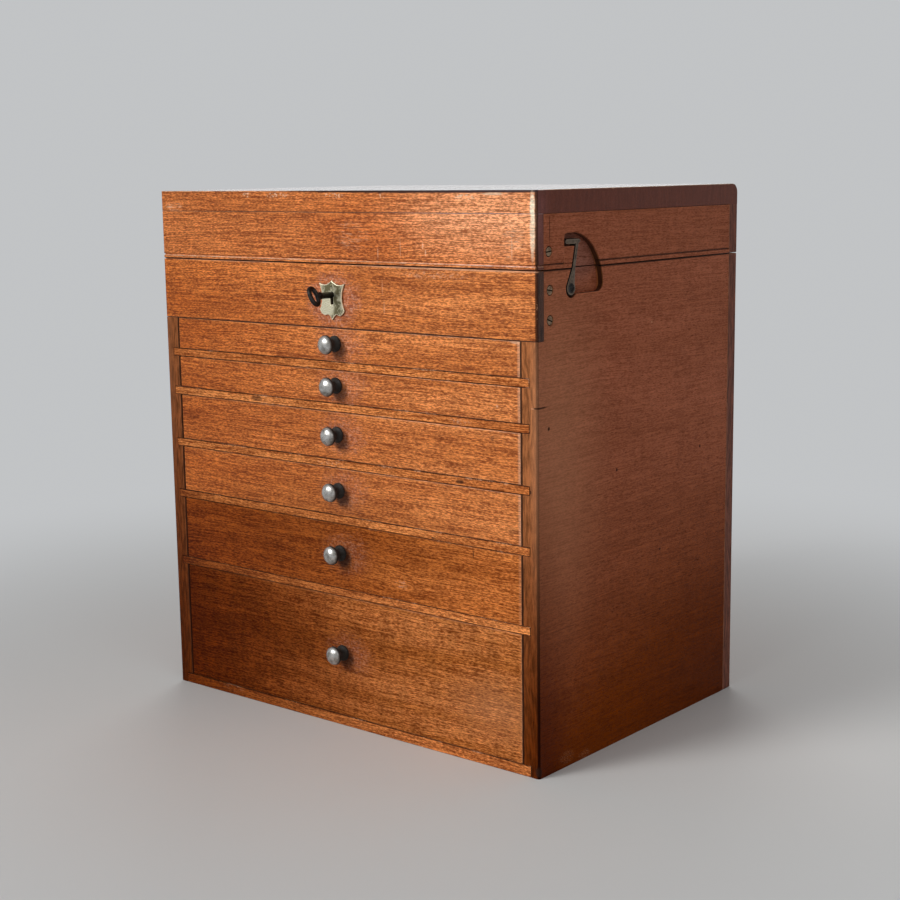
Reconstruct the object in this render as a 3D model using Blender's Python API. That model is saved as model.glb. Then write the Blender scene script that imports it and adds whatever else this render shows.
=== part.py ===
"""Dental cabinet: a mahogany table cabinet of six drawers under a hinged lid, with a box lock and side hooks.

Metres, +Z up. The origin is the middle of the base, X runs along the front and Y from front to back.
"""
import math

import bmesh
import bpy
from mathutils import Matrix, Vector

# Carcass
WIDTH = 0.395
DEPTH = 0.276
SIDE_THICKNESS = 0.015
BACK_THICKNESS = 0.012
BASE_THICKNESS = 0.0085
SHELF_THICKNESS = 0.0065
HOUSING_DEPTH = 0.0075
DRAWER_OPENINGS = (0.0265, 0.0265, 0.0385, 0.0385, 0.053, 0.1)
PANEL_HEIGHT = 0.0494
PANEL_THICKNESS = 0.022
LAP_THICKNESS = 0.008
BOARD_GAP = 0.0003

# Lid
LID_HEIGHT = 0.056
LID_GAP = 0.0006
LID_TOP_THICKNESS = 0.0165
LID_REAR_ROUND = 0.0075
BEAD_HEIGHT = 0.0028
BEAD_GROOVE = 0.0009

# Drawers
DRAWER_CLEARANCE = 0.0005
DRAWER_FRONT_THICKNESS = 0.012
DRAWER_WALL = 0.006
DRAWER_BOTTOM_THICKNESS = 0.004
DRAWER_WALL_DROP = 0.002
DRAWER_REAR_SPACE = 0.008

# Knobs
KNOB_FOOT_RADIUS = 0.0064
KNOB_NECK_RADIUS = 0.0038
KNOB_HEAD_RADIUS = 0.0075
KNOB_FOOT_HEIGHT = 0.0016
KNOB_COVE = 0.002
KNOB_NECK_LENGTH = 0.004
KNOB_FLARE = 0.0018
KNOB_RIM = 0.001
KNOB_DOME = 0.0047
KNOB_SPIGOT_RADIUS = 0.002
KNOB_SPIGOT_LENGTH = 0.009
KNOB_OFFSET = 0.001
KNOB_RISES = (0.001, 0.001, 0.001, 0.001, 0.0025, 0.003)

# Lock, its key and its plate on the lid
KEY_HEIGHT = 0.026
LOCK_WIDTH = 0.06
LOCK_INSET = 0.012
LOCK_DROP = 0.012
LOCK_WALL = 0.0015
KEY_SHANK_RADIUS = 0.0021
KEY_CLEARANCE = 0.0004
KEY_TURNED = math.radians(28.0)
KEY_REACH = 0.0271
BIT_RADIUS = 0.0072
BIT_THICKNESS = 0.002
BIT_WIDTH = 0.0042
BOW_HALF_WIDTH = 0.00865
BOW_HALF_LENGTH = 0.006
BOW_WIRE_RADIUS = 0.0014
BOLT_TRAVEL = 0.01
BOLT_BAR_HEIGHT = 0.0045
BOLT_POST = 0.0035
PRONG_HEIGHT = 0.003
PRONG_THICKNESS = 0.002
STAPLE_THICKNESS = 0.002
STAPLE_WALL = 0.001
STAPLE_PITCH = 0.018
STAPLE_SHIFT = 0.007
LINK_WIDTH = 0.052
LINK_THICKNESS = 0.0015
ESCUTCHEON_WIDTH = 0.0272
ESCUTCHEON_HEIGHT = 0.031
ESCUTCHEON_THICKNESS = 0.0014
ESCUTCHEON_DROP = 0.0044
ESCUTCHEON_SHOULDER_DROP = 0.0022
ESCUTCHEON_HIP_WIDTH = 0.0261
ESCUTCHEON_HIP_RISE = 0.0078
ESCUTCHEON_NOTCH_WIDTH = 0.0087
ESCUTCHEON_NOTCH_RISE = 0.0046
ESCUTCHEON_TOP_HOLLOW = 0.0023
ESCUTCHEON_SIDE_HOLLOW = 0.003
ESCUTCHEON_LOBE = 0.0022
ESCUTCHEON_TIP_HOLLOW = 0.0005

# Hooks
HOOK_SETBACK = 0.0418
HOOK_DROP = 0.0141
HOOK_RISE = 0.0353
HOOK_LEAN = 0.0075
HOOK_THICKNESS = 0.005
HOOK_EYE_RADIUS = 0.0057
HOOK_SHANK_WIDTH = 0.0043
HOOK_FLARE = 0.015
HOOK_HEEL = 0.0025
BEAK_HEIGHT = 0.0039
BEAK_REACH = 0.0129
RECESS_DEPTH = 0.0057
RECESS_CLEARANCE = 0.0015
RECESS_SWEEP = 0.0041
RECESS_SILL = 0.0044
RECESS_CORNER = 0.007

# Screws
SCREW_SETBACK = 0.0155
SCREW_DROPS = (0.014, 0.0354)
SCREW_LENGTH = 0.026
SCREW_HEAD_RADIUS = 0.00375
SCREW_SHANK_RADIUS = 0.00175
SCREW_SLOT = 0.0009
SCREW_RIM = 0.0004
PIVOT_LENGTH = 0.012
PIVOT_HEAD_RADIUS = 0.0034
PIVOT_SHANK_RADIUS = 0.0018

# Hinges
HINGE_SPACING = 0.24
HINGE_LENGTH = 0.04
HINGE_LEAF_WIDTH = 0.0095
HINGE_LEAF_THICKNESS = 0.0012
KNUCKLE_RADIUS = 0.0026
HINGE_PIN_RADIUS = 0.001

ROUND_SEGMENTS = 18
SMALL_SEGMENTS = 12
BOW_SEGMENTS = 24
WIRE_SEGMENTS = 8
CUT_MARGIN = 0.002

FRONT = -DEPTH / 2
REAR = DEPTH / 2
HALF = WIDTH / 2
INNER = HALF - SIDE_THICKNESS
HOUSED = INNER + HOUSING_DEPTH
BACK_INNER = REAR - BACK_THICKNESS
PANEL_INNER = FRONT + PANEL_THICKNESS
LAP = FRONT + LAP_THICKNESS
PANEL_BOTTOM = BASE_THICKNESS + sum(DRAWER_OPENINGS) + SHELF_THICKNESS * (len(DRAWER_OPENINGS) - 1)
CARCASS_TOP = PANEL_BOTTOM + PANEL_HEIGHT
LID_BOTTOM = CARCASS_TOP + LID_GAP
LID_TOP = LID_BOTTOM + LID_HEIGHT
LID_SEAM = LID_TOP - LID_TOP_THICKNESS
KEY_Z = PANEL_BOTTOM + KEY_HEIGHT
LOCK_FACE = FRONT + LOCK_INSET
CAVITY_FRONT = LOCK_FACE + LOCK_WALL
CAVITY_REAR = PANEL_INNER - LOCK_WALL
CAVITY_TOP = CARCASS_TOP - BOARD_GAP - LOCK_WALL
CAVITY_MIDDLE = (CAVITY_FRONT + CAVITY_REAR) / 2
BOLT_THROW = BOLT_TRAVEL * (1 - KEY_TURNED / math.pi)
HOOK_Y = FRONT + HOOK_SETBACK
HOOK_Z = CARCASS_TOP - HOOK_DROP
SCREW_SIZE = (SCREW_HEAD_RADIUS, SCREW_SHANK_RADIUS, SCREW_LENGTH)
PIVOT_SIZE = (PIVOT_HEAD_RADIUS, PIVOT_SHANK_RADIUS, PIVOT_LENGTH)
HINGE_Y = REAR + KNUCKLE_RADIUS + BOARD_GAP
HINGE_Z = CARCASS_TOP + LID_GAP / 2


def make_material(name, colour, roughness, metallic=0.0):
    """A plain Principled BSDF finish."""
    finish = bpy.data.materials.new(name)
    finish.use_nodes = True
    shader = finish.node_tree.nodes["Principled BSDF"]
    shader.inputs["Base Color"].default_value = (*colour, 1.0)
    shader.inputs["Roughness"].default_value = roughness
    shader.inputs["Metallic"].default_value = metallic
    return finish


def make_object(name, shape, finish=None):
    """Turn a bmesh in world coordinates into an object; one without a finish is a cutter."""
    mesh = bpy.data.meshes.new(name)
    bmesh.ops.recalc_face_normals(shape, faces=shape.faces)
    shape.to_mesh(mesh)
    shape.free()
    piece = bpy.data.objects.new(name, mesh)
    bpy.context.scene.collection.objects.link(piece)
    if finish is None:
        piece.hide_render = True
        piece.display_type = "WIRE"
    else:
        mesh.materials.append(finish)
    return piece


def block(low, high):
    """A bmesh box between two corners."""
    low, high = Vector(low), Vector(high)
    shape = bmesh.new()
    size = Matrix.Diagonal((*(high - low), 1.0))
    bmesh.ops.create_cube(shape, size=1.0, matrix=Matrix.Translation((low + high) / 2) @ size)
    return shape


def prism(outline, axis, start, end):
    """A bmesh prism: a flat outline in the two axes other than axis, pushed along axis from start to end."""
    shape = bmesh.new()
    others = [index for index in range(3) if index != axis]
    corners = []
    for first, second in outline:
        point = [0.0, 0.0, 0.0]
        point[axis], point[others[0]], point[others[1]] = start, first, second
        corners.append(shape.verts.new(point))
    face = shape.faces.new(corners)
    pushed = bmesh.ops.extrude_face_region(shape, geom=[face])
    shift = Vector((0.0, 0.0, 0.0))
    shift[axis] = end - start
    moved = [item for item in pushed["geom"] if isinstance(item, bmesh.types.BMVert)]
    bmesh.ops.translate(shape, verts=moved, vec=shift)
    return shape


def turned(profile, segments):
    """A bmesh turned about Z from (radius, height) points whose first and last lie on the axis."""
    shape = bmesh.new()
    points = [shape.verts.new((radius, 0.0, height)) for radius, height in profile]
    edges = [shape.edges.new(pair) for pair in zip(points, points[1:])]
    return spun(shape, points + edges, segments)


def spun(shape, geometry, segments):
    """Spin part of a bmesh a full turn about Z and close the seam."""
    bmesh.ops.spin(
        shape,
        geom=geometry,
        cent=(0, 0, 0),
        axis=(0, 0, 1),
        angle=2 * math.pi,
        steps=segments,
        use_merge=True,
    )
    bmesh.ops.remove_doubles(shape, verts=shape.verts, dist=1e-6)
    return shape


def moved_to(shape, place, direction):
    """Turn a bmesh made about Z to point along direction, and carry its origin to place."""
    turn = Vector((0, 0, 1)).rotation_difference(Vector(direction)).to_matrix().to_4x4()
    bmesh.ops.transform(shape, matrix=Matrix.Translation(place) @ turn, verts=shape.verts)
    return shape


def smooth(piece):
    """Shade a round piece smooth, with its sharp edges kept."""
    piece.data.shade_smooth()
    piece.data.set_sharp_from_angle(angle=math.radians(35))


def combine(piece, tool, operation):
    """Add a Boolean of a hidden tool object to a piece."""
    step = piece.modifiers.new(f"{operation.lower()}_{tool.name}", "BOOLEAN")
    step.operation = operation
    step.object = tool


def cut(piece, name, shape):
    """Cut a bmesh out of a piece."""
    combine(piece, make_object(f"{piece.name}_cut_{name}", shape), "DIFFERENCE")


def fuse(piece, name, shape):
    """Join a bmesh to a piece."""
    combine(piece, make_object(f"{piece.name}_add_{name}", shape), "UNION")


def arc(centre, radius, first, last, steps):
    """Points on a circle from angle first to angle last, both in radians."""
    turns = [first + (last - first) * step / steps for step in range(steps + 1)]
    return [(centre[0] + radius * math.cos(turn), centre[1] + radius * math.sin(turn)) for turn in turns]


def rounded(before, corner, after, steps=4):
    """Points that round a corner between two points."""
    points = []
    for step in range(steps + 1):
        share = step / steps
        points.append(
            tuple(
                (1 - share) ** 2 * a + 2 * share * (1 - share) * b + share**2 * c
                for a, b, c in zip(before, corner, after)
            )
        )
    return points


def bowed(start, end, sag, steps=6):
    """Points after start, up to end, on a curve that leans sag to the left of the way from start to end."""
    along = Vector(end) - Vector(start)
    aside = Vector((-along.y, along.x)).normalized()
    points = []
    for step in range(1, steps + 1):
        share = step / steps
        points.append(tuple(Vector(start) + along * share + aside * (4 * sag * share * (1 - share))))
    return points


def screw_profile(head_radius, shank_radius, length):
    """A countersunk screw's profile, head at zero and point at -length."""
    sink = head_radius - shank_radius
    tip = length - 2 * shank_radius
    return [
        (0, 0),
        (head_radius, 0),
        (head_radius, -SCREW_RIM),
        (shank_radius, -SCREW_RIM - sink),
        (shank_radius, -tip),
        (0, -length),
    ]


def hole_profile(head_radius, shank_radius, length):
    """The hole of that screw: a gap wider all round, open above its head and square at its end."""
    sink = head_radius - shank_radius
    rim = SCREW_RIM + BOARD_GAP
    head, shank = head_radius + BOARD_GAP, shank_radius + BOARD_GAP
    end = -length - BOARD_GAP
    return [(0, CUT_MARGIN), (head, CUT_MARGIN), (head, -rim), (shank, -rim - sink), (shank, end), (0, end)]


class Assembly:
    """An empty on a joint's axis that carries the pieces of one moving body."""

    def __init__(self, name, place):
        self.place = Vector(place)
        self.empty = bpy.data.objects.new(name, None)
        self.empty.location = self.place
        bpy.context.scene.collection.objects.link(self.empty)

    def carry(self, piece):
        """Parent a piece, giving it its origin on the joint's axis."""
        piece.data.transform(Matrix.Translation(-self.place))
        piece.parent = self.empty
        return piece


def drawer_levels():
    """Bottom and top of each drawer opening, top drawer first."""
    levels = []
    bottom = BASE_THICKNESS
    for height in reversed(DRAWER_OPENINGS):
        levels.append((bottom, bottom + height))
        bottom += height + SHELF_THICKNESS
    return levels[::-1]


def shelf_levels():
    """Underside of the shelf below each drawer but the last, top shelf first."""
    return [bottom - SHELF_THICKNESS for bottom, _ in drawer_levels()[:-1]]


def keyhole_outline(grow):
    """The keyhole round the key's shank and, below it, the slot that passes the bit, in X and Z."""
    radius = KEY_SHANK_RADIUS + grow
    half_slot = BIT_THICKNESS / 2 + grow
    edge = math.asin(half_slot / radius)
    foot = KEY_Z - BIT_RADIUS - grow
    circle = arc((0.0, KEY_Z), radius, -math.pi / 2 + edge, 1.5 * math.pi - edge, SMALL_SEGMENTS)
    return circle + [(-half_slot, foot), (half_slot, foot)]


def lapped_outline():
    """A front board in plan: its rebated ends lap over the front ends of the sides."""
    shoulder = INNER - BOARD_GAP
    return [
        (-HALF, FRONT),
        (HALF, FRONT),
        (HALF, LAP),
        (shoulder, LAP),
        (shoulder, PANEL_INNER),
        (-shoulder, PANEL_INNER),
        (-shoulder, LAP),
        (-HALF, LAP),
    ]


def hook_outline():
    """The hook from its pivot: a round eye, a leaning shank and a beak that points to the front."""
    half = HOOK_SHANK_WIDTH / 2
    under = HOOK_RISE - BEAK_HEIGHT
    flare = HOOK_LEAN * HOOK_FLARE / under
    inner = HOOK_LEAN - half
    heel = HOOK_LEAN + half + HOOK_HEEL
    tip = (inner - BEAK_REACH + BEAK_HEIGHT / 2, under + BEAK_HEIGHT / 2)
    eye = arc((0, 0), HOOK_EYE_RADIUS, math.radians(30), math.radians(-205), 14)
    beak = arc(tip, BEAK_HEIGHT / 2, math.radians(270), math.radians(90), 6)
    return (
        eye
        + [(flare - half, HOOK_FLARE), (inner, under)]
        + beak
        + rounded((heel - BEAK_HEIGHT, HOOK_RISE), (heel, HOOK_RISE), (heel, HOOK_RISE - BEAK_HEIGHT / 2), 3)
        + [(HOOK_LEAN + half, under), (flare + half, HOOK_FLARE)]
    )


def recess_size():
    """Radius of the hook's swing with its clearance, and the front end of the beak's notch."""
    heel = HOOK_LEAN + HOOK_SHANK_WIDTH / 2 + HOOK_HEEL
    front = HOOK_LEAN - HOOK_SHANK_WIDTH / 2 - BEAK_REACH - RECESS_CLEARANCE
    return math.hypot(heel, HOOK_RISE) + RECESS_SWEEP - RECESS_CLEARANCE, front


def carcass_recess():
    """The swing recess below the lid, from the pivot: eye pocket, sill, rounded rear corner and open top."""
    radius, _ = recess_size()
    pocket = HOOK_EYE_RADIUS + RECESS_CLEARANCE
    top = HOOK_DROP + CUT_MARGIN
    sill_start = -math.asin(RECESS_SILL / pocket)
    lean = HOOK_LEAN * top / (HOOK_RISE - BEAK_HEIGHT)
    corner = math.sqrt(radius**2 - RECESS_SILL**2)
    swing = arc((0, 0), radius, (RECESS_CORNER - RECESS_SILL) / radius, math.asin(top / radius), 6)
    return (
        arc((0, 0), pocket, math.radians(165), 2 * math.pi + sill_start, 12)
        + rounded((corner - RECESS_CORNER, -RECESS_SILL), (corner, -RECESS_SILL), swing[0])
        + swing[1:]
        + [(lean - HOOK_SHANK_WIDTH / 2 - RECESS_CLEARANCE, top)]
    )


def lid_recess():
    """The recess in the lid, from the pivot: the swing's arc and the beak's notch, both open below."""
    radius, front = recess_size()
    foot = HOOK_DROP - CUT_MARGIN
    crown = math.acos((HOOK_LEAN - HOOK_SHANK_WIDTH / 2) / radius)
    top = radius * math.sin(crown)
    return (
        [(front, foot)]
        + arc((0, 0), radius, math.asin(foot / radius), crown, 12)
        + rounded((front + BEAK_HEIGHT, top), (front, top), (front, top - BEAK_HEIGHT))
    )


def placed_beside(outline, side):
    """A recess as a bmesh in the outer face of one side, from an outline about the hook's pivot."""
    points = [(HOOK_Y + back, HOOK_Z + up) for back, up in outline]
    return prism(points, 0, side * (HALF - RECESS_DEPTH), side * (HALF + CUT_MARGIN))


def beside(profile, place, side):
    """A turned screw or hole with its head at place in one side of the cabinet and its point inwards."""
    return moved_to(turned(profile, SMALL_SEGMENTS), place, (side, 0, 0))


def pivot_place(side):
    """Middle of a hook's pivot in the hook's outer face."""
    return (side * (HALF - RECESS_DEPTH + BOARD_GAP + HOOK_THICKNESS), HOOK_Y, HOOK_Z)


def panel_screw_places(side):
    """Places of the screws through one side into the end of the lock panel."""
    face = side * (HALF - BOARD_GAP)
    return [(face, FRONT + SCREW_SETBACK, CARCASS_TOP - drop) for drop in SCREW_DROPS]


def build_sides(wood):
    """The two sides, housed for the base, the shelves and the floor of the well."""
    outline = [
        (FRONT, 0),
        (BACK_INNER - BOARD_GAP, 0),
        (BACK_INNER - BOARD_GAP, CARCASS_TOP),
        (LAP + BOARD_GAP, CARCASS_TOP),
        (LAP + BOARD_GAP, PANEL_BOTTOM - BOARD_GAP),
        (FRONT, PANEL_BOTTOM - BOARD_GAP),
    ]
    for name, side in (("side_left", -1), ("side_right", 1)):
        board = make_object(name, prism(outline, 0, side * INNER, side * HALF), wood)
        near, far = sorted((side * (INNER - CUT_MARGIN), side * (HOUSED + BOARD_GAP)))
        for number, bottom in enumerate(shelf_levels(), 1):
            low = (near, FRONT - CUT_MARGIN, bottom - BOARD_GAP)
            high = (far, REAR, bottom + SHELF_THICKNESS + BOARD_GAP)
            cut(board, f"housing_{number}", block(low, high))
        low = (near, FRONT - CUT_MARGIN, -CUT_MARGIN)
        cut(board, "base_housing", block(low, (far, REAR, BASE_THICKNESS + BOARD_GAP)))
        low = (near, PANEL_INNER, PANEL_BOTTOM - BOARD_GAP)
        high = (far, REAR, PANEL_BOTTOM + SHELF_THICKNESS + BOARD_GAP)
        cut(board, "floor_housing", block(low, high))
        cut(board, "hook_recess", placed_beside(carcass_recess(), side))
        cut(board, "pivot_hole", beside(hole_profile(*PIVOT_SIZE), pivot_place(side), side))
        for number, place in enumerate(panel_screw_places(side), 1):
            cut(board, f"screw_hole_{number}", beside(hole_profile(*SCREW_SIZE), place, side))


def build_boards(wood):
    """Base, shelves, floor of the well and the back, which laps the sides."""
    rear = BACK_INNER - BOARD_GAP
    make_object("base_board", block((-HOUSED, FRONT, 0), (HOUSED, rear, BASE_THICKNESS)), wood)
    for number, bottom in enumerate(shelf_levels(), 1):
        shelf = block((-HOUSED, FRONT, bottom), (HOUSED, rear, bottom + SHELF_THICKNESS))
        make_object(f"shelf_{number}", shelf, wood)
    low = (-HOUSED, PANEL_INNER + BOARD_GAP, PANEL_BOTTOM)
    make_object("well_floor", block(low, (HOUSED, rear, PANEL_BOTTOM + SHELF_THICKNESS)), wood)
    back = make_object("back_board", block((-HALF, BACK_INNER, 0), (HALF, REAR, CARCASS_TOP)), wood)
    for name, middle in hinge_places():
        half = HINGE_LENGTH / 2 + BOARD_GAP
        edge = REAR - HINGE_LEAF_WIDTH - BOARD_GAP
        low = (middle - half, edge, CARCASS_TOP - HINGE_LEAF_THICKNESS - BOARD_GAP)
        cut(back, f"{name}_seat", block(low, (middle + half, REAR + CUT_MARGIN, CARCASS_TOP + CUT_MARGIN)))


def build_lock_panel(wood):
    """The front board above the drawers, with the lock's mortise, keyhole and screw holes."""
    panel = make_object("lock_panel", prism(lapped_outline(), 2, PANEL_BOTTOM, CARCASS_TOP), wood)
    half = LOCK_WIDTH / 2 + BOARD_GAP
    low = (-half, LOCK_FACE - BOARD_GAP, KEY_Z - LOCK_DROP - BOARD_GAP)
    cut(panel, "mortise", block(low, (half, PANEL_INNER + CUT_MARGIN, CARCASS_TOP + CUT_MARGIN)))
    keyhole = prism(keyhole_outline(KEY_CLEARANCE), 1, FRONT - CUT_MARGIN, LOCK_FACE + CUT_MARGIN)
    cut(panel, "keyhole", keyhole)
    for side_name, side in (("left", -1), ("right", 1)):
        for number, place in enumerate(panel_screw_places(side), 1):
            cut(panel, f"screw_hole_{side_name}_{number}", beside(hole_profile(*SCREW_SIZE), place, side))


def build_panel_screws(brass):
    """The slotted screws through the sides into the lock panel."""
    for side_name, side in (("left", -1), ("right", 1)):
        for number, place in enumerate(panel_screw_places(side), 1):
            shape = beside(screw_profile(*SCREW_SIZE), place, side)
            screw = make_object(f"panel_screw_{side_name}_{number}", shape, brass)
            smooth(screw)
            cut_slot(screw, place, side, SCREW_HEAD_RADIUS)


def cut_slot(screw, place, side, head_radius):
    """The driver's slot across a screw head on one side of the cabinet."""
    near, far = sorted((place[0] - side * SCREW_SLOT, place[0] + side * CUT_MARGIN))
    reach, half = head_radius + CUT_MARGIN, SCREW_SLOT / 2
    low = (near, place[1] - reach, place[2] - half)
    cut(screw, "slot", block(low, (far, place[1] + reach, place[2] + half)))


def build_lock(brass, iron, steel):
    """The box lock's case, its sliding bolt and its key, half turned in the keyhole."""
    half = LOCK_WIDTH / 2
    low = (-half, LOCK_FACE, KEY_Z - LOCK_DROP)
    case = make_object("lock_case", block(low, (half, PANEL_INNER, CARCASS_TOP - BOARD_GAP)), brass)
    low = (-half + LOCK_WALL, CAVITY_FRONT, KEY_Z - LOCK_DROP + LOCK_WALL)
    cut(case, "cavity", block(low, (half - LOCK_WALL, CAVITY_REAR, CAVITY_TOP)))
    cut(case, "keyhole", prism(keyhole_outline(KEY_CLEARANCE), 1, LOCK_FACE - CUT_MARGIN, CAVITY_MIDDLE))
    for number, place in enumerate(staple_places(), 1):
        reach = STAPLE_THICKNESS / 2 + KEY_CLEARANCE
        low = (place - reach, CAVITY_FRONT, CAVITY_TOP - CUT_MARGIN / 2)
        cut(case, f"staple_slot_{number}", block(low, (place + reach, CAVITY_REAR, CARCASS_TOP + CUT_MARGIN)))
    build_bolt(steel)
    build_key(iron)


def staple_places():
    """Middle of each staple of the plate on the lid, along X."""
    return (-STAPLE_PITCH / 2 - STAPLE_SHIFT, STAPLE_PITCH / 2 - STAPLE_SHIFT)


def bolt_levels():
    """Underside and top of the bolt's bar, then underside and top of its prongs."""
    bar = KEY_Z + BIT_RADIUS + KEY_CLEARANCE * 2
    prong = bar + BOLT_BAR_HEIGHT + STAPLE_WALL + KEY_CLEARANCE * 2
    return bar, bar + BOLT_BAR_HEIGHT, prong, prong + PRONG_HEIGHT


def build_bolt(steel):
    """The bolt: a bar with two horns round the key's bit and two prongs that slide into the staples."""
    bar_low, bar_high, prong_low, prong_high = bolt_levels()
    prong = BOLT_THROW + KEY_CLEARANCE
    tips = [place + STAPLE_THICKNESS / 2 + KEY_CLEARANCE * 2 for place in staple_places()]
    horn_face = BOLT_THROW - BIT_THICKNESS
    horns = (horn_face - BIT_THICKNESS, horn_face + BIT_RADIUS + BIT_THICKNESS)
    start = min(tips[0] + prong, horns[0] - BIT_THICKNESS) - BOARD_GAP
    end = max(tips[1] + prong + BOLT_POST, horns[1] + BIT_THICKNESS) + BOARD_GAP
    bolt = Assembly("lock_bolt_slide", (0, CAVITY_MIDDLE, bar_low))
    low = (start, CAVITY_FRONT + BOARD_GAP, bar_low)
    bar = make_object("lock_bolt", block(low, (end, CAVITY_REAR - BOARD_GAP, bar_high)), steel)
    bolt.carry(bar)
    near, far = CAVITY_MIDDLE - PRONG_THICKNESS / 2, CAVITY_MIDDLE + PRONG_THICKNESS / 2
    root = bar_high - BOLT_BAR_HEIGHT / 2
    for number, tip in enumerate(tips, 1):
        outline = [
            (tip, prong_low),
            (tip + prong, prong_low),
            (tip + prong, root),
            (tip + prong + BOLT_POST, root),
            (tip + prong + BOLT_POST, prong_high),
            (tip, prong_high),
        ]
        fuse(bar, f"prong_{number}", prism(outline, 1, near, far))
    horn_low = KEY_Z + BIT_RADIUS - BIT_THICKNESS
    for number, middle in enumerate(horns, 1):
        low = (middle - BIT_THICKNESS, near, horn_low)
        fuse(bar, f"horn_{number}", block(low, (middle + BIT_THICKNESS, far, root)))


def build_key(iron):
    """The key: a shank through the lock, a bit below it and an oval bow outside, turned with the key."""
    tip, end = CAVITY_REAR - KEY_CLEARANCE, FRONT - KEY_REACH
    bow_middle = end + BOW_HALF_LENGTH
    collar = bow_middle + BOW_HALF_LENGTH - BOW_WIRE_RADIUS
    chamfer = KEY_SHANK_RADIUS / 4
    profile = [
        (0, 0),
        (KEY_SHANK_RADIUS - chamfer, 0),
        (KEY_SHANK_RADIUS, chamfer),
        (KEY_SHANK_RADIUS, tip - collar),
        (0, tip - collar),
    ]
    axis = Assembly("key_turn", (0, FRONT, KEY_Z))
    shank = moved_to(turned(profile, SMALL_SEGMENTS), (0, tip, KEY_Z), (0, -1, 0))
    key = make_object("key", shank, iron)
    smooth(key)
    axis.carry(key)
    bit_low = CAVITY_FRONT + KEY_CLEARANCE
    half = BIT_THICKNESS / 2
    bit = block((-half, bit_low, -BIT_RADIUS), (half, bit_low + BIT_WIDTH, -KEY_SHANK_RADIUS / 2))
    fuse(key, "bit", turned_with_key(bit))
    bow = bmesh.new()
    ring = bmesh.ops.create_circle(bow, segments=WIRE_SEGMENTS, radius=BOW_WIRE_RADIUS)["verts"]
    middle_radius = BOW_HALF_WIDTH - BOW_WIRE_RADIUS
    bmesh.ops.translate(bow, verts=ring, vec=(middle_radius, 0, 0))
    bmesh.ops.rotate(bow, verts=ring, cent=(middle_radius, 0, 0), matrix=Matrix.Rotation(math.pi / 2, 3, "X"))
    spun(bow, bow.verts[:] + bow.edges[:], BOW_SEGMENTS)
    squeeze = (BOW_HALF_LENGTH - BOW_WIRE_RADIUS) / middle_radius
    bmesh.ops.scale(bow, verts=bow.verts, vec=(1, squeeze, 1))
    bmesh.ops.rotate(bow, verts=bow.verts, cent=(0, 0, 0), matrix=Matrix.Rotation(math.pi / 2, 3, "Y"))
    bmesh.ops.translate(bow, verts=bow.verts, vec=(0, bow_middle, 0))
    fuse(key, "bow", turned_with_key(bow))


def turned_with_key(shape):
    """Turn a bmesh made upright about Y by the angle the key rests at, and lift it to the key's axis."""
    turn = Matrix.Rotation(-KEY_TURNED, 4, "Y")
    bmesh.ops.transform(shape, matrix=Matrix.Translation((0, 0, KEY_Z)) @ turn, verts=shape.verts)
    return shape


def escutcheon_outline():
    """The shield: three points above, hollow sides, rounded lower corners and a point below, in X and Z."""
    middle = KEY_Z - ESCUTCHEON_DROP
    top, bottom = middle + ESCUTCHEON_HEIGHT / 2, middle - ESCUTCHEON_HEIGHT / 2
    stretches = (
        ((ESCUTCHEON_WIDTH / 2, top - ESCUTCHEON_SHOULDER_DROP), -ESCUTCHEON_TOP_HOLLOW),
        ((ESCUTCHEON_HIP_WIDTH / 2, bottom + ESCUTCHEON_HIP_RISE), -ESCUTCHEON_SIDE_HOLLOW),
        ((ESCUTCHEON_NOTCH_WIDTH / 2, bottom + ESCUTCHEON_NOTCH_RISE), ESCUTCHEON_LOBE),
        ((0.0, bottom), -ESCUTCHEON_TIP_HOLLOW),
    )
    right = [(0.0, top)]
    for end, sag in stretches:
        right += bowed(right[-1], end, sag)
    return right + [(-across, up) for across, up in right[-2:0:-1]]


def build_escutcheon(brass):
    """The shield-shaped plate round the keyhole."""
    back = FRONT - BOARD_GAP
    face = back - ESCUTCHEON_THICKNESS
    plate = make_object("escutcheon", prism(escutcheon_outline(), 1, face, back), brass)
    hole = prism(keyhole_outline(KEY_CLEARANCE), 1, face - CUT_MARGIN, back + CUT_MARGIN)
    cut(plate, "keyhole", hole)


def build_hooks(iron):
    """The two side hooks, each on its pivot screw."""
    points = [(HOOK_Y + back, HOOK_Z + up) for back, up in hook_outline()]
    for side_name, side in (("left", -1), ("right", 1)):
        pivot = pivot_place(side)
        swing = Assembly(f"hook_{side_name}_pivot", pivot)
        shape = prism(points, 0, pivot[0] - side * HOOK_THICKNESS, pivot[0])
        hook = make_object(f"hook_{side_name}", shape, iron)
        swing.carry(hook)
        cut(hook, "eye", beside(hole_profile(*PIVOT_SIZE), pivot, side))
        shape = beside(screw_profile(*PIVOT_SIZE), pivot, side)
        screw = make_object(f"hook_screw_{side_name}", shape, iron)
        smooth(screw)
        cut_slot(screw, pivot, side, PIVOT_HEAD_RADIUS)


def hinge_places():
    """Name and middle of each hinge along X."""
    return (("hinge_left", -HINGE_SPACING / 2), ("hinge_right", HINGE_SPACING / 2))


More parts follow.
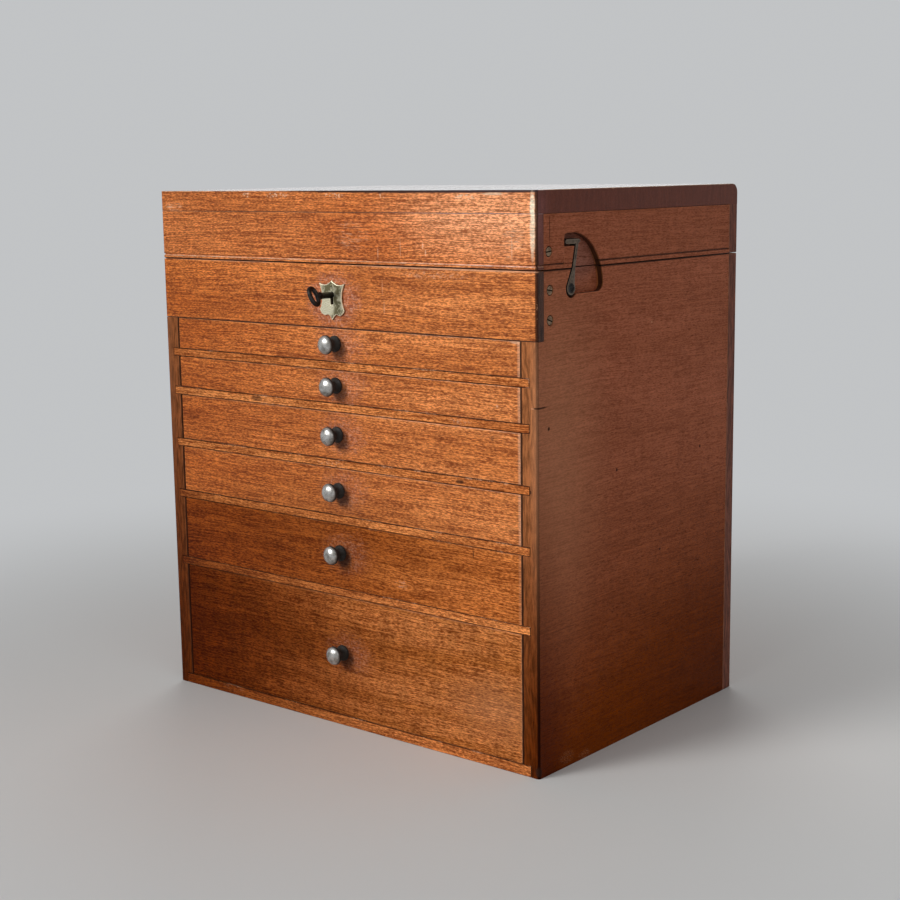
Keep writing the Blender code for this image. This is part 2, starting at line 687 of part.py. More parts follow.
def hinge_leaf(name, middle, low, knuckles, brass):
    """A hinge leaf from its underside, with knuckles given by their ends along X from the hinge's middle."""
    half = HINGE_LENGTH / 2
    high = low + HINGE_LEAF_THICKNESS
    plate = block((middle - half, REAR - HINGE_LEAF_WIDTH, low), (middle + half, REAR - BOARD_GAP, high))
    leaf = make_object(name, plate, brass)
    bore = HINGE_PIN_RADIUS + BOARD_GAP
    wall = (bore + KNUCKLE_RADIUS) / 2
    for number, (start, end) in enumerate(knuckles, 1):
        tongue_low = (middle + start + BOARD_GAP, REAR - HINGE_LEAF_WIDTH / 2, low + BOARD_GAP)
        tongue_high = (middle + end - BOARD_GAP, HINGE_Y - wall, high - BOARD_GAP)
        fuse(leaf, f"tongue_{number}", block(tongue_low, tongue_high))
        ring = arc((HINGE_Y, HINGE_Z), KNUCKLE_RADIUS, 0, 2 * math.pi, SMALL_SEGMENTS)[:-1]
        fuse(leaf, f"knuckle_{number}", prism(ring, 0, middle + start, middle + end))
        hole = arc((HINGE_Y, HINGE_Z), bore, 0, 2 * math.pi, SMALL_SEGMENTS)[:-1]
        cut(leaf, f"bore_{number}", prism(hole, 0, middle + start - CUT_MARGIN, middle + end + CUT_MARGIN))
    return leaf


def build_hinges(lid, brass, steel):
    """Two butt hinges: a leaf on the back, a leaf under the lid and the pin through their knuckles."""
    half, third = HINGE_LENGTH / 2, HINGE_LENGTH / 6
    for name, middle in hinge_places():
        outer = ((-half, -third - BOARD_GAP), (third + BOARD_GAP, half))
        hinge_leaf(f"{name}_lower_leaf", middle, CARCASS_TOP - HINGE_LEAF_THICKNESS, outer, brass)
        lid.carry(hinge_leaf(f"{name}_upper_leaf", middle, LID_BOTTOM, ((-third, third),), brass))
        rod = arc((HINGE_Y, HINGE_Z), HINGE_PIN_RADIUS, 0, 2 * math.pi, SMALL_SEGMENTS)[:-1]
        pin = make_object(f"{name}_pin", prism(rod, 0, middle - half, middle + half), steel)
        smooth(pin)


def build_lid(lid, wood, brass):
    """The lid: a frame of four boards under a top board, with the lock's plate below its front."""
    seam = LID_SEAM - BOARD_GAP
    groove = LID_BOTTOM + BEAD_HEIGHT
    front = make_object("lid_front", prism(lapped_outline(), 2, LID_BOTTOM, seam), wood)
    cut(front, "bead", bead_groove(groove))
    half = LINK_WIDTH / 2 + BOARD_GAP
    low = (-half, CAVITY_FRONT - BOARD_GAP, LID_BOTTOM - CUT_MARGIN)
    high = (half, CAVITY_REAR + BOARD_GAP, LID_BOTTOM + LINK_THICKNESS + BOARD_GAP)
    cut(front, "plate_seat", block(low, high))
    pieces = [front]
    for name, side in (("lid_left", -1), ("lid_right", 1)):
        near, far = sorted((side * INNER, side * HALF))
        low = (near, LAP + BOARD_GAP, LID_BOTTOM)
        board = make_object(name, block(low, (far, BACK_INNER - BOARD_GAP, seam)), wood)
        cut(board, "bead", bead_groove(groove))
        cut(board, "hook_recess", placed_beside(lid_recess(), side))
        pieces.append(board)
    back = make_object("lid_back", block((-HALF, BACK_INNER, LID_BOTTOM), (HALF, REAR, seam)), wood)
    half = HINGE_LENGTH / 2 + BOARD_GAP
    for name, middle in hinge_places():
        low = (middle - half, REAR - HINGE_LEAF_WIDTH - BOARD_GAP, LID_BOTTOM - CUT_MARGIN)
        seat = LID_BOTTOM + HINGE_LEAF_THICKNESS + BOARD_GAP
        cut(back, f"{name}_seat", block(low, (middle + half, REAR + CUT_MARGIN, seat)))
    pieces.append(back)
    inset = REAR - LID_REAR_ROUND
    corner = arc((inset, LID_TOP - LID_REAR_ROUND), LID_REAR_ROUND, 0, math.pi / 2, 6)
    top = [(FRONT, LID_SEAM), (REAR, LID_SEAM)] + corner + [(FRONT, LID_TOP)]
    pieces.append(make_object("lid_top", prism(top, 0, -HALF, HALF), wood))
    pieces.append(build_link_plate(brass))
    for piece in pieces:
        lid.carry(piece)


def bead_groove(level):
    """The groove above the bead, round the front and both sides of the lid."""
    out_x, out_y = HALF + CUT_MARGIN, FRONT - CUT_MARGIN
    in_x, in_y = HALF - BEAD_GROOVE, FRONT + BEAD_GROOVE
    outline = [
        (-out_x, out_y),
        (out_x, out_y),
        (out_x, REAR),
        (in_x, REAR),
        (in_x, in_y),
        (-in_x, in_y),
        (-in_x, REAR),
        (-out_x, REAR),
    ]
    return prism(outline, 2, level, level + BEAD_GROOVE)


def build_link_plate(brass):
    """The plate under the lid's front, with two staples that drop into the lock."""
    half = LINK_WIDTH / 2
    low = (-half, CAVITY_FRONT, LID_BOTTOM)
    high = (half, CAVITY_REAR, LID_BOTTOM + LINK_THICKNESS)
    plate = make_object("lock_link_plate", block(low, high), brass)
    _, _, prong_low, prong_high = bolt_levels()
    near, far = CAVITY_FRONT + KEY_CLEARANCE * 2, CAVITY_REAR - KEY_CLEARANCE * 2
    for number, place in enumerate(staple_places(), 1):
        start, end = place - STAPLE_THICKNESS / 2, place + STAPLE_THICKNESS / 2
        low = (start, near, prong_low - KEY_CLEARANCE - STAPLE_WALL)
        fuse(plate, f"staple_{number}", block(low, (end, far, LID_BOTTOM + LINK_THICKNESS / 2)))
        reach = PRONG_THICKNESS / 2 + KEY_CLEARANCE * 2
        low = (start - CUT_MARGIN, CAVITY_MIDDLE - reach, prong_low - KEY_CLEARANCE)
        high = (end + CUT_MARGIN, CAVITY_MIDDLE + reach, prong_high + KEY_CLEARANCE)
        cut(plate, f"eye_{number}", block(low, high))
    return plate


def knob_profile():
    """The knob from its seat outwards: a foot, a narrow neck and a domed head, with a spigot behind."""
    foot, neck, head = KNOB_FOOT_RADIUS, KNOB_NECK_RADIUS, KNOB_HEAD_RADIUS
    cove = BOARD_GAP + KNOB_FOOT_HEIGHT
    flare = cove + KNOB_COVE + KNOB_NECK_LENGTH
    rim = flare + KNOB_FLARE
    spigot = [
        (0, -KNOB_SPIGOT_LENGTH),
        (KNOB_SPIGOT_RADIUS, -KNOB_SPIGOT_LENGTH),
        (KNOB_SPIGOT_RADIUS, BOARD_GAP),
        (foot, BOARD_GAP),
    ]
    dome = arc((0, 0), 1, 0, math.pi / 2, 5)
    return (
        spigot
        + rounded((foot, cove), (neck, cove), (neck, cove + KNOB_COVE), 3)
        + rounded((neck, flare), (head, flare), (head, rim), 3)
        + [(head * across, rim + KNOB_RIM + KNOB_DOME * up) for across, up in dome[:-1]]
        + [(0, rim + KNOB_RIM + KNOB_DOME)]
    )


def build_drawer(number, bottom, top, rise, wood, lining, steel):
    """One drawer: front, three-sided frame, bottom and knob."""
    slide = Assembly(f"drawer_{number}_slide", (0, FRONT, bottom))
    half = INNER - DRAWER_CLEARANCE
    behind = FRONT + DRAWER_FRONT_THICKNESS
    end = BACK_INNER - DRAWER_REAR_SPACE
    low_z, high_z = bottom + BOARD_GAP, top - DRAWER_CLEARANCE
    front = make_object(f"drawer_{number}_front", block((-half, FRONT, low_z), (half, behind, high_z)), wood)
    floor = block((-half, behind + BOARD_GAP, low_z), (half, end, low_z + DRAWER_BOTTOM_THICKNESS))
    panel = make_object(f"drawer_{number}_bottom", floor, lining)
    inner = half - DRAWER_WALL
    start = behind + BOARD_GAP
    outline = [
        (-half, start),
        (-inner, start),
        (-inner, end - DRAWER_WALL),
        (inner, end - DRAWER_WALL),
        (inner, start),
        (half, start),
        (half, end),
        (-half, end),
    ]
    wall_low = low_z + DRAWER_BOTTOM_THICKNESS + BOARD_GAP
    walls = prism(outline, 2, wall_low, high_z - DRAWER_WALL_DROP)
    frame = make_object(f"drawer_{number}_frame", walls, lining)
    seat = (KNOB_OFFSET, FRONT, (bottom + top) / 2 + rise)
    shape = moved_to(turned(knob_profile(), ROUND_SEGMENTS), seat, (0, -1, 0))
    knob = make_object(f"drawer_{number}_knob", shape, steel)
    smooth(knob)
    radius, depth = KNOB_SPIGOT_RADIUS + BOARD_GAP, KNOB_SPIGOT_LENGTH + BOARD_GAP
    hole = [(0, -depth), (radius, -depth), (radius, CUT_MARGIN), (0, CUT_MARGIN)]
    cut(front, "knob_hole", moved_to(turned(hole, SMALL_SEGMENTS), seat, (0, -1, 0)))
    for piece in (front, panel, frame, knob):
        slide.carry(piece)


def main():
    """Clear the scene and build the cabinet."""
    for old in list(bpy.data.objects):
        bpy.data.objects.remove(old, do_unlink=True)
    wood = make_material("mahogany", (0.36, 0.12, 0.04), 0.4)
    lining = make_material("drawer_lining", (0.42, 0.2, 0.09), 0.6)
    steel = make_material("polished_steel", (0.62, 0.6, 0.57), 0.3, 1.0)
    brass = make_material("brass", (0.62, 0.5, 0.28), 0.35, 1.0)
    iron = make_material("dark_iron", (0.06, 0.055, 0.05), 0.5, 1.0)
    build_boards(wood)
    build_sides(wood)
    build_lock_panel(wood)
    build_panel_screws(brass)
    build_lock(brass, iron, steel)
    build_escutcheon(brass)
    build_hooks(iron)
    lid = Assembly("lid_hinge", (0, HINGE_Y, HINGE_Z))
    build_hinges(lid, brass, steel)
    build_lid(lid, wood, brass)
    for number, ((bottom, top), rise) in enumerate(zip(drawer_levels(), KNOB_RISES), 1):
        build_drawer(number, bottom, top, rise, wood, lining, steel)


main()
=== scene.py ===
"""Dental cabinet: the looks of a polished mahogany cabinet with six drawers, a lid, a lock and hooks.

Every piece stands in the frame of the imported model: metres, +Z up, the front towards -Y.
"""

import logging
import math
from dataclasses import dataclass, replace
from enum import Enum
from typing import Callable, Iterable, Sequence

import bmesh
import bpy
from mathutils import Matrix, Vector


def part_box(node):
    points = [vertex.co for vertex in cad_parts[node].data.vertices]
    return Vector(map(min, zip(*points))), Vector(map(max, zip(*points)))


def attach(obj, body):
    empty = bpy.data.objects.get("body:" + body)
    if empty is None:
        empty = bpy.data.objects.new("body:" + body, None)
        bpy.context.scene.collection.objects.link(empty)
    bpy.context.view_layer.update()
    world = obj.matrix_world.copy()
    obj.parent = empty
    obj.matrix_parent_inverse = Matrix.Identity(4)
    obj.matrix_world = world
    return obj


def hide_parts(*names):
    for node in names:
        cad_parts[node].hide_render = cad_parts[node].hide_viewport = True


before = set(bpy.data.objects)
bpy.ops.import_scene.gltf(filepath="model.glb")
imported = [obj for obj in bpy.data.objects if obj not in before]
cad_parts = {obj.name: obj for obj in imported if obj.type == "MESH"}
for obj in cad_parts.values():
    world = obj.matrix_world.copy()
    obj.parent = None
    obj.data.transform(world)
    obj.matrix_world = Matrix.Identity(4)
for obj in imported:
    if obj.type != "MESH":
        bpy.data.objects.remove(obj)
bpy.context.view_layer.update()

log = logging.getLogger("cabinet")

Point = tuple[float, float, float]
Color = tuple[float, float, float]
Profile = tuple[tuple[float, float], ...]
Shape = bmesh.types.BMesh
Material = bpy.types.Material
Inputs = bpy.types.NodeInputs
Outputs = bpy.types.NodeOutputs
Socket = bpy.types.NodeSocket
Tree = bpy.types.NodeTree
Feed = Socket | float | Sequence[float]

FRONT = -0.138
HALF = 0.1975
FINE = 1e-6
NEAR = 0.0003
LID_GAP = 0.0003
FLAT_ANGLE = math.radians(0.5)
SHARP_ANGLE = math.radians(40)
SCREW_ANGLE = 35
SQUARE_ON = 0.99
FORWARD = (0, -1, 0)


class Slot(Enum):
    """The record's material slots."""

    MAHOGANY = "mahogany"
    LINING = "drawer_lining"
    STEEL = "polished_steel"
    BRASS = "brass"
    IRON = "dark_iron"


class Side(Enum):
    """The two sides of the cabinet, as the sign of X."""

    LEFT = -1
    RIGHT = 1

    @property
    def label(self) -> str:
        """The side's name in node names."""
        return self.name.lower()


class Grain(Enum):
    """Which way a board's grain runs: the turn that lays it along X, and its direction."""

    ACROSS = ((0.0, 0.0, 0.0), (1.0, 0.0, 0.0))
    DEEP = ((0.0, 0.0, -math.pi / 2), (0.0, 1.0, 0.0))


class Face(Enum):
    """A board's faces that others cover, as the axis and whether the face is the high one."""

    FRONT = (1, False)
    BACK = (1, True)
    FOOT = (2, False)
    TOP = (2, True)


class MarkKind(Enum):
    """What a mark on a board is."""

    HALO = "rubbed reddish patch round a fitting"
    # Dark marks stand for stains and also for painted shade along gaps, in the keyhole, in the lid's groove
    # and on the recess walls.
    STAIN = "dark spot, knot or filled hole"
    # Pale marks stand for wear and also for a painted reflection on the sides' fronts and painted highlights
    # along edges.
    BARE = "polish worn through to pale wood"
    RAW = "edge knocked down to raw wood"
    CHIPS = "crumbs broken out of an edge"
    SCUFF = "patch of fine scratches"
    # Tints are used for painted shade where the light falls off, in the recesses and low on the sides, for a
    # painted sheen on the lid, and for darker and redder tones.
    AGED = "polish gone darker, or hazy, by a tint"


HALO, STAIN, BARE, RAW, CHIPS, SCUFF, AGED = MarkKind


@dataclass(frozen=True)
class Mark:
    """One mark on a board: an oval patch about a point, solid out to its core, with a ragged rim."""

    kind: MarkKind
    centre: Point
    radii: Point
    strength: float = 1.0
    core: float = 0.45
    ragged: float = 0.9
    tint: Color = (0.3, 0.13, 0.0)


def merged_copy(node: str) -> Shape:
    """Copy a CAD node's mesh, merge its triangles and clear the edges inside its flat faces.

    Args:
        node: name of the CAD node.

    Returns:
        The merged copy.
    """
    shape = bmesh.new()
    shape.from_mesh(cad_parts[node].data)
    bmesh.ops.remove_doubles(shape, verts=shape.verts, dist=FINE)
    bmesh.ops.dissolve_limit(shape, angle_limit=FLAT_ANGLE, verts=shape.verts, edges=shape.edges)
    return shape


def face_layer(shape: Shape, label: str) -> bmesh.types.BMLayerItem:
    """A shape's face attribute of a name, added where it is missing."""
    layers = shape.faces.layers.float
    return layers.get(label) or layers.new(label)


def soften(
    shape: Shape,
    width: float,
    wanted: Callable[[Vector], bool] = lambda middle: True,
    segments: int = 3,
    label: str = "arris",
) -> None:
    """Round the sharp outer edges and mark the new faces in a face attribute.

    Args:
        shape: mesh to change.
        width: width of the rounding.
        wanted: test on the middle of an edge that is to be rounded.
        segments: faces across the rounding.
        label: name of the face attribute.
    """
    layer = face_layer(shape, label)
    sharp = []
    for edge in shape.edges:
        outer = len(edge.link_faces) == 2 and edge.is_convex and edge.calc_face_angle() >= SHARP_ANGLE
        if outer and wanted((edge.verts[0].co + edge.verts[1].co) / 2):
            sharp.append(edge)
    made = bmesh.ops.bevel(
        shape,
        geom=sharp,
        offset=width,
        offset_type="OFFSET",
        affect="EDGES",
        segments=segments,
        profile=0.5,
        material=-1,
        clamp_overlap=True,
    )
    for face in made["faces"]:
        face[layer] = 1.0


def sink(shape: Shape, wanted: Callable[[bmesh.types.BMFace], bool], shift: Sequence[float]) -> None:
    """Push a strip of faces into a shape and mark the groove in the face attribute "grime".

    Args:
        shape: mesh to change.
        wanted: test on a face of the strip.
        shift: how far the strip goes.
    """
    # Metal finishes paint the marked groove dark: dirt and painted shade in the groove.
    layer = face_layer(shape, "grime")
    shape.normal_update()
    strip = [face for face in shape.faces if wanted(face)]
    edges = list(dict.fromkeys(edge for face in strip for edge in face.edges))
    sunk = bmesh.ops.extrude_face_region(shape, geom=[*strip, *edges])["geom"]
    verts = [item for item in sunk if isinstance(item, bmesh.types.BMVert)]
    bmesh.ops.translate(shape, verts=verts, vec=shift)
    for vert in verts:
        for face in vert.link_faces:
            face[layer] = 1.0


def slice_at(shape: Shape, place: Sequence[float], normal: Sequence[float]) -> None:
    """Cut edges into a shape where a plane goes through it."""
    whole = shape.verts[:] + shape.edges[:] + shape.faces[:]
    bmesh.ops.bisect_plane(shape, geom=whole, dist=FINE, plane_co=place, plane_no=normal)


def smooth_rounds(shape: Shape, square: float = 0.999) -> None:
    """Shade the faces smooth that don't square up with the cabinet."""
    for face in shape.faces:
        face.smooth = max(abs(part) for part in face.normal) < square


def rounded_block(low: Sequence[float], high: Sequence[float], width: float) -> Shape:
    """Make a block between two corners with rounded edges.

    Args:
        low: lowest corner.
        high: highest corner.
        width: width of the rounding.

    Returns:
        The block.
    """
    low, high = Vector(low), Vector(high)
    shape = bmesh.new()
    size = Matrix.Diagonal((*(high - low), 1.0))
    bmesh.ops.create_cube(shape, size=1.0, matrix=Matrix.Translation((low + high) / 2) @ size)
    soften(shape, width)
    return shape


def turned(profile: Profile, steps: int) -> Shape:
    """Turn a profile about Z on the lathe.

    Args:
        profile: points as (height, radius); the first and the last lie on the axis.
        steps: faces round the turn.

    Returns:
        The turned shape.
    """
    shape = bmesh.new()
    points = [shape.verts.new((radius, 0.0, height)) for height, radius in profile]
    edges = [shape.edges.new(pair) for pair in zip(points, points[1:])]
    bmesh.ops.spin(
        shape,
        geom=points + edges,
        cent=(0, 0, 0),
        axis=(0, 0, 1),
        angle=2 * math.pi,
        steps=steps,
        use_merge=True,
    )
    bmesh.ops.remove_doubles(shape, verts=shape.verts, dist=FINE)
    bmesh.ops.recalc_face_normals(shape, faces=shape.faces)
    return shape


def moved_to(shape: Shape, place: Sequence[float], direction: Sequence[float]) -> Shape:
    """Point a shape made about Z along a direction and carry its origin to a place.

    Args:
        shape: shape to move.
        place: where its origin goes.
        direction: where its Z axis goes.

    Returns:
        The same shape.
    """
    turn = Vector((0, 0, 1)).rotation_difference(Vector(direction)).to_matrix().to_4x4()
    bmesh.ops.transform(shape, matrix=Matrix.Translation(place) @ turn, verts=shape.verts)
    return shape


def mesh_of(name: str, shape: Shape) -> bpy.types.Mesh:
    """Turn a shape into a mesh.

    Args:
        name: name of the mesh.
        shape: shape to turn, which is used up.

    Returns:
        The mesh.
    """
    mesh = bpy.data.meshes.new(name)
    shape.to_mesh(mesh)
    shape.free()
    return mesh


def linked(name: str, data: bpy.types.ID) -> bpy.types.Object:
    """Make an object and add it to the scene.

    Args:
        name: name of the object.
        data: its mesh, lamp or camera.

    Returns:
        The object.
    """
    holder = bpy.data.objects.new(name, data)
    bpy.context.scene.collection.objects.link(holder)
    return holder


def joined(shapes: Iterable[Shape]) -> Shape:
    """Put several shapes into one mesh.

    Args:
        shapes: shapes to join, which are used up.

    Returns:
        The joined shape.
    """
    whole = bmesh.new()
    for shape in shapes:
        carrier = mesh_of("carrier", shape)
        whole.from_mesh(carrier)
        bpy.data.meshes.remove(carrier)
    return whole


def lofted(loops: Sequence[Sequence[Point]]) -> Shape:
    """Skin a row of closed loops and close both ends.

    Args:
        loops: loops with the same number of points, in order.

    Returns:
        The closed shape.
    """
    shape = bmesh.new()
    rings = [[shape.verts.new(point) for point in loop] for loop in loops]
    for near, far in zip(rings, rings[1:]):
        for index, corner in enumerate(near):
            after = (index + 1) % len(near)
            shape.faces.new((corner, near[after], far[after], far[index]))
    shape.faces.new(rings[0])
    shape.faces.new(rings[-1])
    bmesh.ops.recalc_face_normals(shape, faces=shape.faces)
    return shape


def drill(place: Point, direction: Point, radius: float, depth: float, spare: float = 0.002) -> Shape:
    """The shape of a round hole from a place inwards, with some to spare along the outward direction."""
    profile = ((-depth, 0.0), (-depth, radius), (spare, radius), (spare, 0.0))
    return moved_to(turned(profile, steps=40), place, direction)


def carved(shape: Shape, cutters: Iterable[Shape]) -> Shape:
    """Carve shapes out of another shape.

    Args:
        shape: shape to carve, which is used up.
        cutters: shapes to take out, which are used up.

    Returns:
        The carved shape.
    """
    holders = [linked("bench", mesh_of("bench", item)) for item in (shape, *cutters)]
    for cutter in holders[1:]:
        cut = holders[0].modifiers.new("carve", "BOOLEAN")
        cut.operation = "DIFFERENCE"
        cut.solver = "EXACT"
        cut.object = cutter
    state = bpy.context.evaluated_depsgraph_get()
    carved_mesh = bpy.data.meshes.new_from_object(holders[0].evaluated_get(state))
    result = bmesh.new()
    result.from_mesh(carved_mesh)
    for mesh in [carved_mesh, *(holder.data for holder in holders)]:
        bpy.data.meshes.remove(mesh)
    return result


def place_piece(
    name: str,
    shape: Shape,
    body: str,
    finish: Material,
    stands_for: Sequence[str] = (),
    round_angle: float | None = None,
) -> bpy.types.Object:
    """Turn a finished shape into a piece that rides on a body.

    Args:
        name: name of the piece.
        shape: its mesh, in the cabinet's frame, which is used up.
        body: body that carries it.
        finish: its material.
        stands_for: CAD nodes that it replaces.
        round_angle: edges flatter than this many degrees are shaded smooth.

    Returns:
        The piece.
    """
    mesh = mesh_of(name, shape)
    if round_angle is not None:
        mesh.shade_smooth()
        mesh.set_sharp_from_angle(angle=math.radians(round_angle))
    mesh.materials.append(finish)
    piece = linked(name, mesh)
    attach(piece, body)
    if stands_for:
        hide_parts(*stands_for)
    log.info("%s rides on %s", name, body)
    return piece


class Graph:
    """Writes the nodes of one shader tree or node group."""

    def __init__(self, tree: Tree) -> None:
        """Keep the tree to write into."""
        self.tree = tree

    def feed(self, socket: Socket, value: Feed) -> None:
        """Link an input to a socket, or set the input's own value.

        Args:
            socket: input to feed.
            value: socket to link, or a plain value.
        """
        if isinstance(value, Socket):
            self.tree.links.new(value, socket)
        elif socket.type == "RGBA" and len(value) == 3:
            socket.default_value = (*value, 1.0)
        else:
            socket.default_value = value

    def dress(self, inputs: Inputs, feeds: dict[str, Feed]) -> None:
        """Feed some inputs by their names."""
        for name, value in feeds.items():
            self.feed(inputs[name], value)

    def filled(self, node: bpy.types.Node, values: Iterable[Feed]) -> Outputs:
        """Feed a node's inputs in their order.

        Args:
            node: node to feed.
            values: values or sockets.

        Returns:
            The node's outputs.
        """
        for socket, value in zip(node.inputs, values):
            self.feed(socket, value)
        return node.outputs

    def node(self, kind: str, feeds: dict[str, Feed] | None = None, **settings: object) -> bpy.types.Node:
        """Add a node.

        Args:
            kind: type of node.
            feeds: values or sockets for its named inputs.
            **settings: its properties.

        Returns:
            The node.
        """
        node = self.tree.nodes.new(kind)
        for name, value in settings.items():
            setattr(node, name, value)
        self.dress(node.inputs, feeds or {})
        return node

    def math(self, operation: str, *values: Feed, clamp: bool = False) -> Socket:
        """Work out a number from others, kept between 0 and 1 if it is clamped."""
        node = self.node("ShaderNodeMath", operation=operation, use_clamp=clamp)
        return self.filled(node, values)[0]

    def times(self, first: Feed, second: Feed) -> Socket:
        """Multiply two numbers."""
        return self.math("MULTIPLY", first, second)

    def line(self, value: Feed, slope: Feed, start: Feed, clamp: bool = False) -> Socket:
        """Multiply a number by a slope and add a start."""
        return self.math("MULTIPLY_ADD", value, slope, start, clamp=clamp)

    def vector(self, operation: str, *values: Feed) -> Socket:
        """Work out a vector from others, or a number for a length or a dot product."""
        node = self.node("ShaderNodeVectorMath", operation=operation)
        return self.filled(node, values)["Value" if operation in ("LENGTH", "DOT_PRODUCT") else "Vector"]

    def parts(self, vector: Feed) -> Outputs:
        """Split a vector into X, Y and Z."""
        return self.node("ShaderNodeSeparateXYZ", {"Vector": vector}).outputs

    def mapped(self, vector: Feed, **feeds: Feed) -> Socket:
        """Stretch, turn and shift a vector."""
        return self.node("ShaderNodeMapping", {"Vector": vector, **feeds}).outputs[0]

    def attribute(self, name: str) -> Socket:
        """Read a face attribute."""
        return self.node("ShaderNodeAttribute", attribute_name=name).outputs["Fac"]

    def step(self, value: Feed, low: Feed, high: Feed, start: float = 0.0, end: float = 1.0) -> Socket:
        """Fade smoothly from start to end as a value goes from low to high."""
        feeds = {"Value": value, "From Min": low, "From Max": high, "To Min": start, "To Max": end}
        return self.node("ShaderNodeMapRange", feeds, interpolation_type="SMOOTHSTEP").outputs[0]

    def noise(self, vector: Feed, scale: float, detail: float, roughness: float) -> Socket:
        """Read a noise of so many cells to a metre, which is about 0.5 on average."""
        feeds = {"Vector": vector, "Scale": scale, "Detail": detail, "Roughness": roughness}
        return self.node("ShaderNodeTexNoise", feeds).outputs[0]

    def mix(self, factor: Feed, first: Feed, second: Feed, blend: str = "MIX") -> Socket:
        """Mix two colours.

        Args:
            factor: share of the second.
            first: first colour.
            second: second colour.
            blend: way of mixing.

        Returns:
            The mixed colour.
        """
        node = self.node("ShaderNodeMix", data_type="RGBA", blend_type=blend)
        for index, value in ((0, factor), (6, first), (7, second)):
            self.feed(node.inputs[index], value)
        return node.outputs[2]

    def bump(self, height: Socket, strength: float, distance: float) -> Socket:
        """Turn a height into a normal."""
        feeds = {"Strength": strength, "Distance": distance, "Height": height}
        return self.node("ShaderNodeBump", feeds).outputs[0]

    def seen(self, *rays: str) -> Socket:
        """Tell the rays of some kinds from the others.

        Args:
            *rays: names of the kinds.

        Returns:
            1 for a ray of these kinds, or else 0.
        """
        path = self.node("ShaderNodeLightPath").outputs
        mask = path[rays[0]]
        for ray in rays[1:]:
            mask = self.math("MAXIMUM", mask, path[ray])
        return mask

    def place(self, group: Tree, **feeds: Feed) -> Outputs:
        """Place a node group with its inputs fed and give its outputs."""
        return self.node("ShaderNodeGroup", feeds, node_tree=group).outputs


def new_finish(name: str) -> tuple[Material, Graph, Inputs]:
    """Start a material.

    Args:
        name: name of the material.

    Returns:
        The material, its graph and the inputs of its shader.
    """
    finish = bpy.data.materials.new(name)
    finish.use_nodes = True
    return finish, Graph(finish.node_tree), finish.node_tree.nodes["Principled BSDF"].inputs


NUMBER_INPUTS = ("Width", "Core", "Ragged")


def new_group(name: str, inputs: Iterable[str], outputs: Iterable[str]) -> tuple[Graph, Outputs, Inputs]:
    """Start a shader node group, whose inputs are vectors but for the numbers in NUMBER_INPUTS.

    Args:
        name: name of the group.
        inputs: names of its inputs.
        outputs: names of its outputs, all numbers.

    Returns:
        Its graph, its inputs to read from and its outputs to feed.
    """
    tree = bpy.data.node_groups.new(name, "ShaderNodeTree")
    for label in inputs:
        kind = "NodeSocketFloat" if label in NUMBER_INPUTS else "NodeSocketVector"
        tree.interface.new_socket(label, in_out="INPUT", socket_type=kind)
    for label in outputs:
        tree.interface.new_socket(label, in_out="OUTPUT", socket_type="NodeSocketFloat")
    graph = Graph(tree)
    return graph, graph.node("NodeGroupInput").outputs, graph.node("NodeGroupOutput").inputs


def make_grain_group() -> Tree:
    """The grain of mahogany along X: its broad figure, streaks, pores, cross ripple and end grain.

    Returns:
        The node group.
    """
    outputs = ("Figure", "Streaks", "Pores", "Ripple", "Ends")
    graph, given, out = new_group("mahogany_grain", ("Vector",), outputs)
    slow = graph.vector("MULTIPLY", given["Vector"], (5, 14, 14))
    sway = graph.node("ShaderNodeTexNoise", {"Vector": slow, "Scale": 1.0}).outputs[1]
    bend = graph.vector("MULTIPLY", graph.vector("SUBTRACT", sway, (0.5, 0.5, 0.5)), (0.0, 0.012, 0.012))
    along = graph.vector("ADD", given["Vector"], bend)

    def layer(stretch: Point, detail: float, rough: float) -> Socket:
        """A noise along the grain, with so many cells to a metre each way."""
        return graph.noise(graph.vector("MULTIPLY", along, stretch), 1.0, detail, rough)

    streaks = graph.math("ADD", layer((26, 1050, 1050), 3.0, 0.65), layer((330, 1150, 1150), 2.0, 0.6))
    skew = graph.mapped(along, Rotation=(0.0, 0.3, 0.3), Scale=(130, 40, 40))
    parts = {
        "Figure": graph.step(layer((4, 42, 42), 3.0, 0.55), 0.32, 0.68),
        "Streaks": graph.step(streaks, 0.74, 1.26),
        "Pores": graph.step(layer((190, 1300, 1300), 2.0, 0.5), 0.58, 0.7),
        "Ripple": graph.step(graph.noise(skew, 1.0, 2.0, 0.5), 0.33, 0.67),
        "Ends": graph.step(layer((300, 420, 60), 4.0, 0.65), 0.32, 0.68),
    }
    graph.dress(out, parts)
    return graph.tree


def make_edge_group() -> Tree:
    """Ragged wear along the edges of a box between two corners.

    Returns:
        The node group.
    """
    graph, given, out = new_group("worn_edges", ("Vector", "Low", "High", "Width"), ("Mask",))
    below = graph.vector("SUBTRACT", given["Vector"], given["Low"])
    above = graph.vector("SUBTRACT", given["High"], given["Vector"])
    gaps = graph.parts(graph.vector("MINIMUM", below, above))
    least = graph.math("MINIMUM", gaps[0], gaps[1])
    most = graph.math("MAXIMUM", gaps[0], gaps[1])
    edge = graph.math("MAXIMUM", least, graph.math("MINIMUM", most, gaps[2]))
    patchy = graph.step(graph.noise(given["Vector"], 55.0, 4.0, 0.6), 0.45, 0.75)
    crumbs = graph.step(graph.noise(given["Vector"], 520.0, 2.0, 0.6), 0.4, 0.62)
    reach = graph.times(given["Width"], graph.times(patchy, crumbs))
    graph.feed(out["Mask"], graph.step(edge, 0.0, graph.math("ADD", reach, 0.00002), 1.0, 0.0))
    return graph.tree


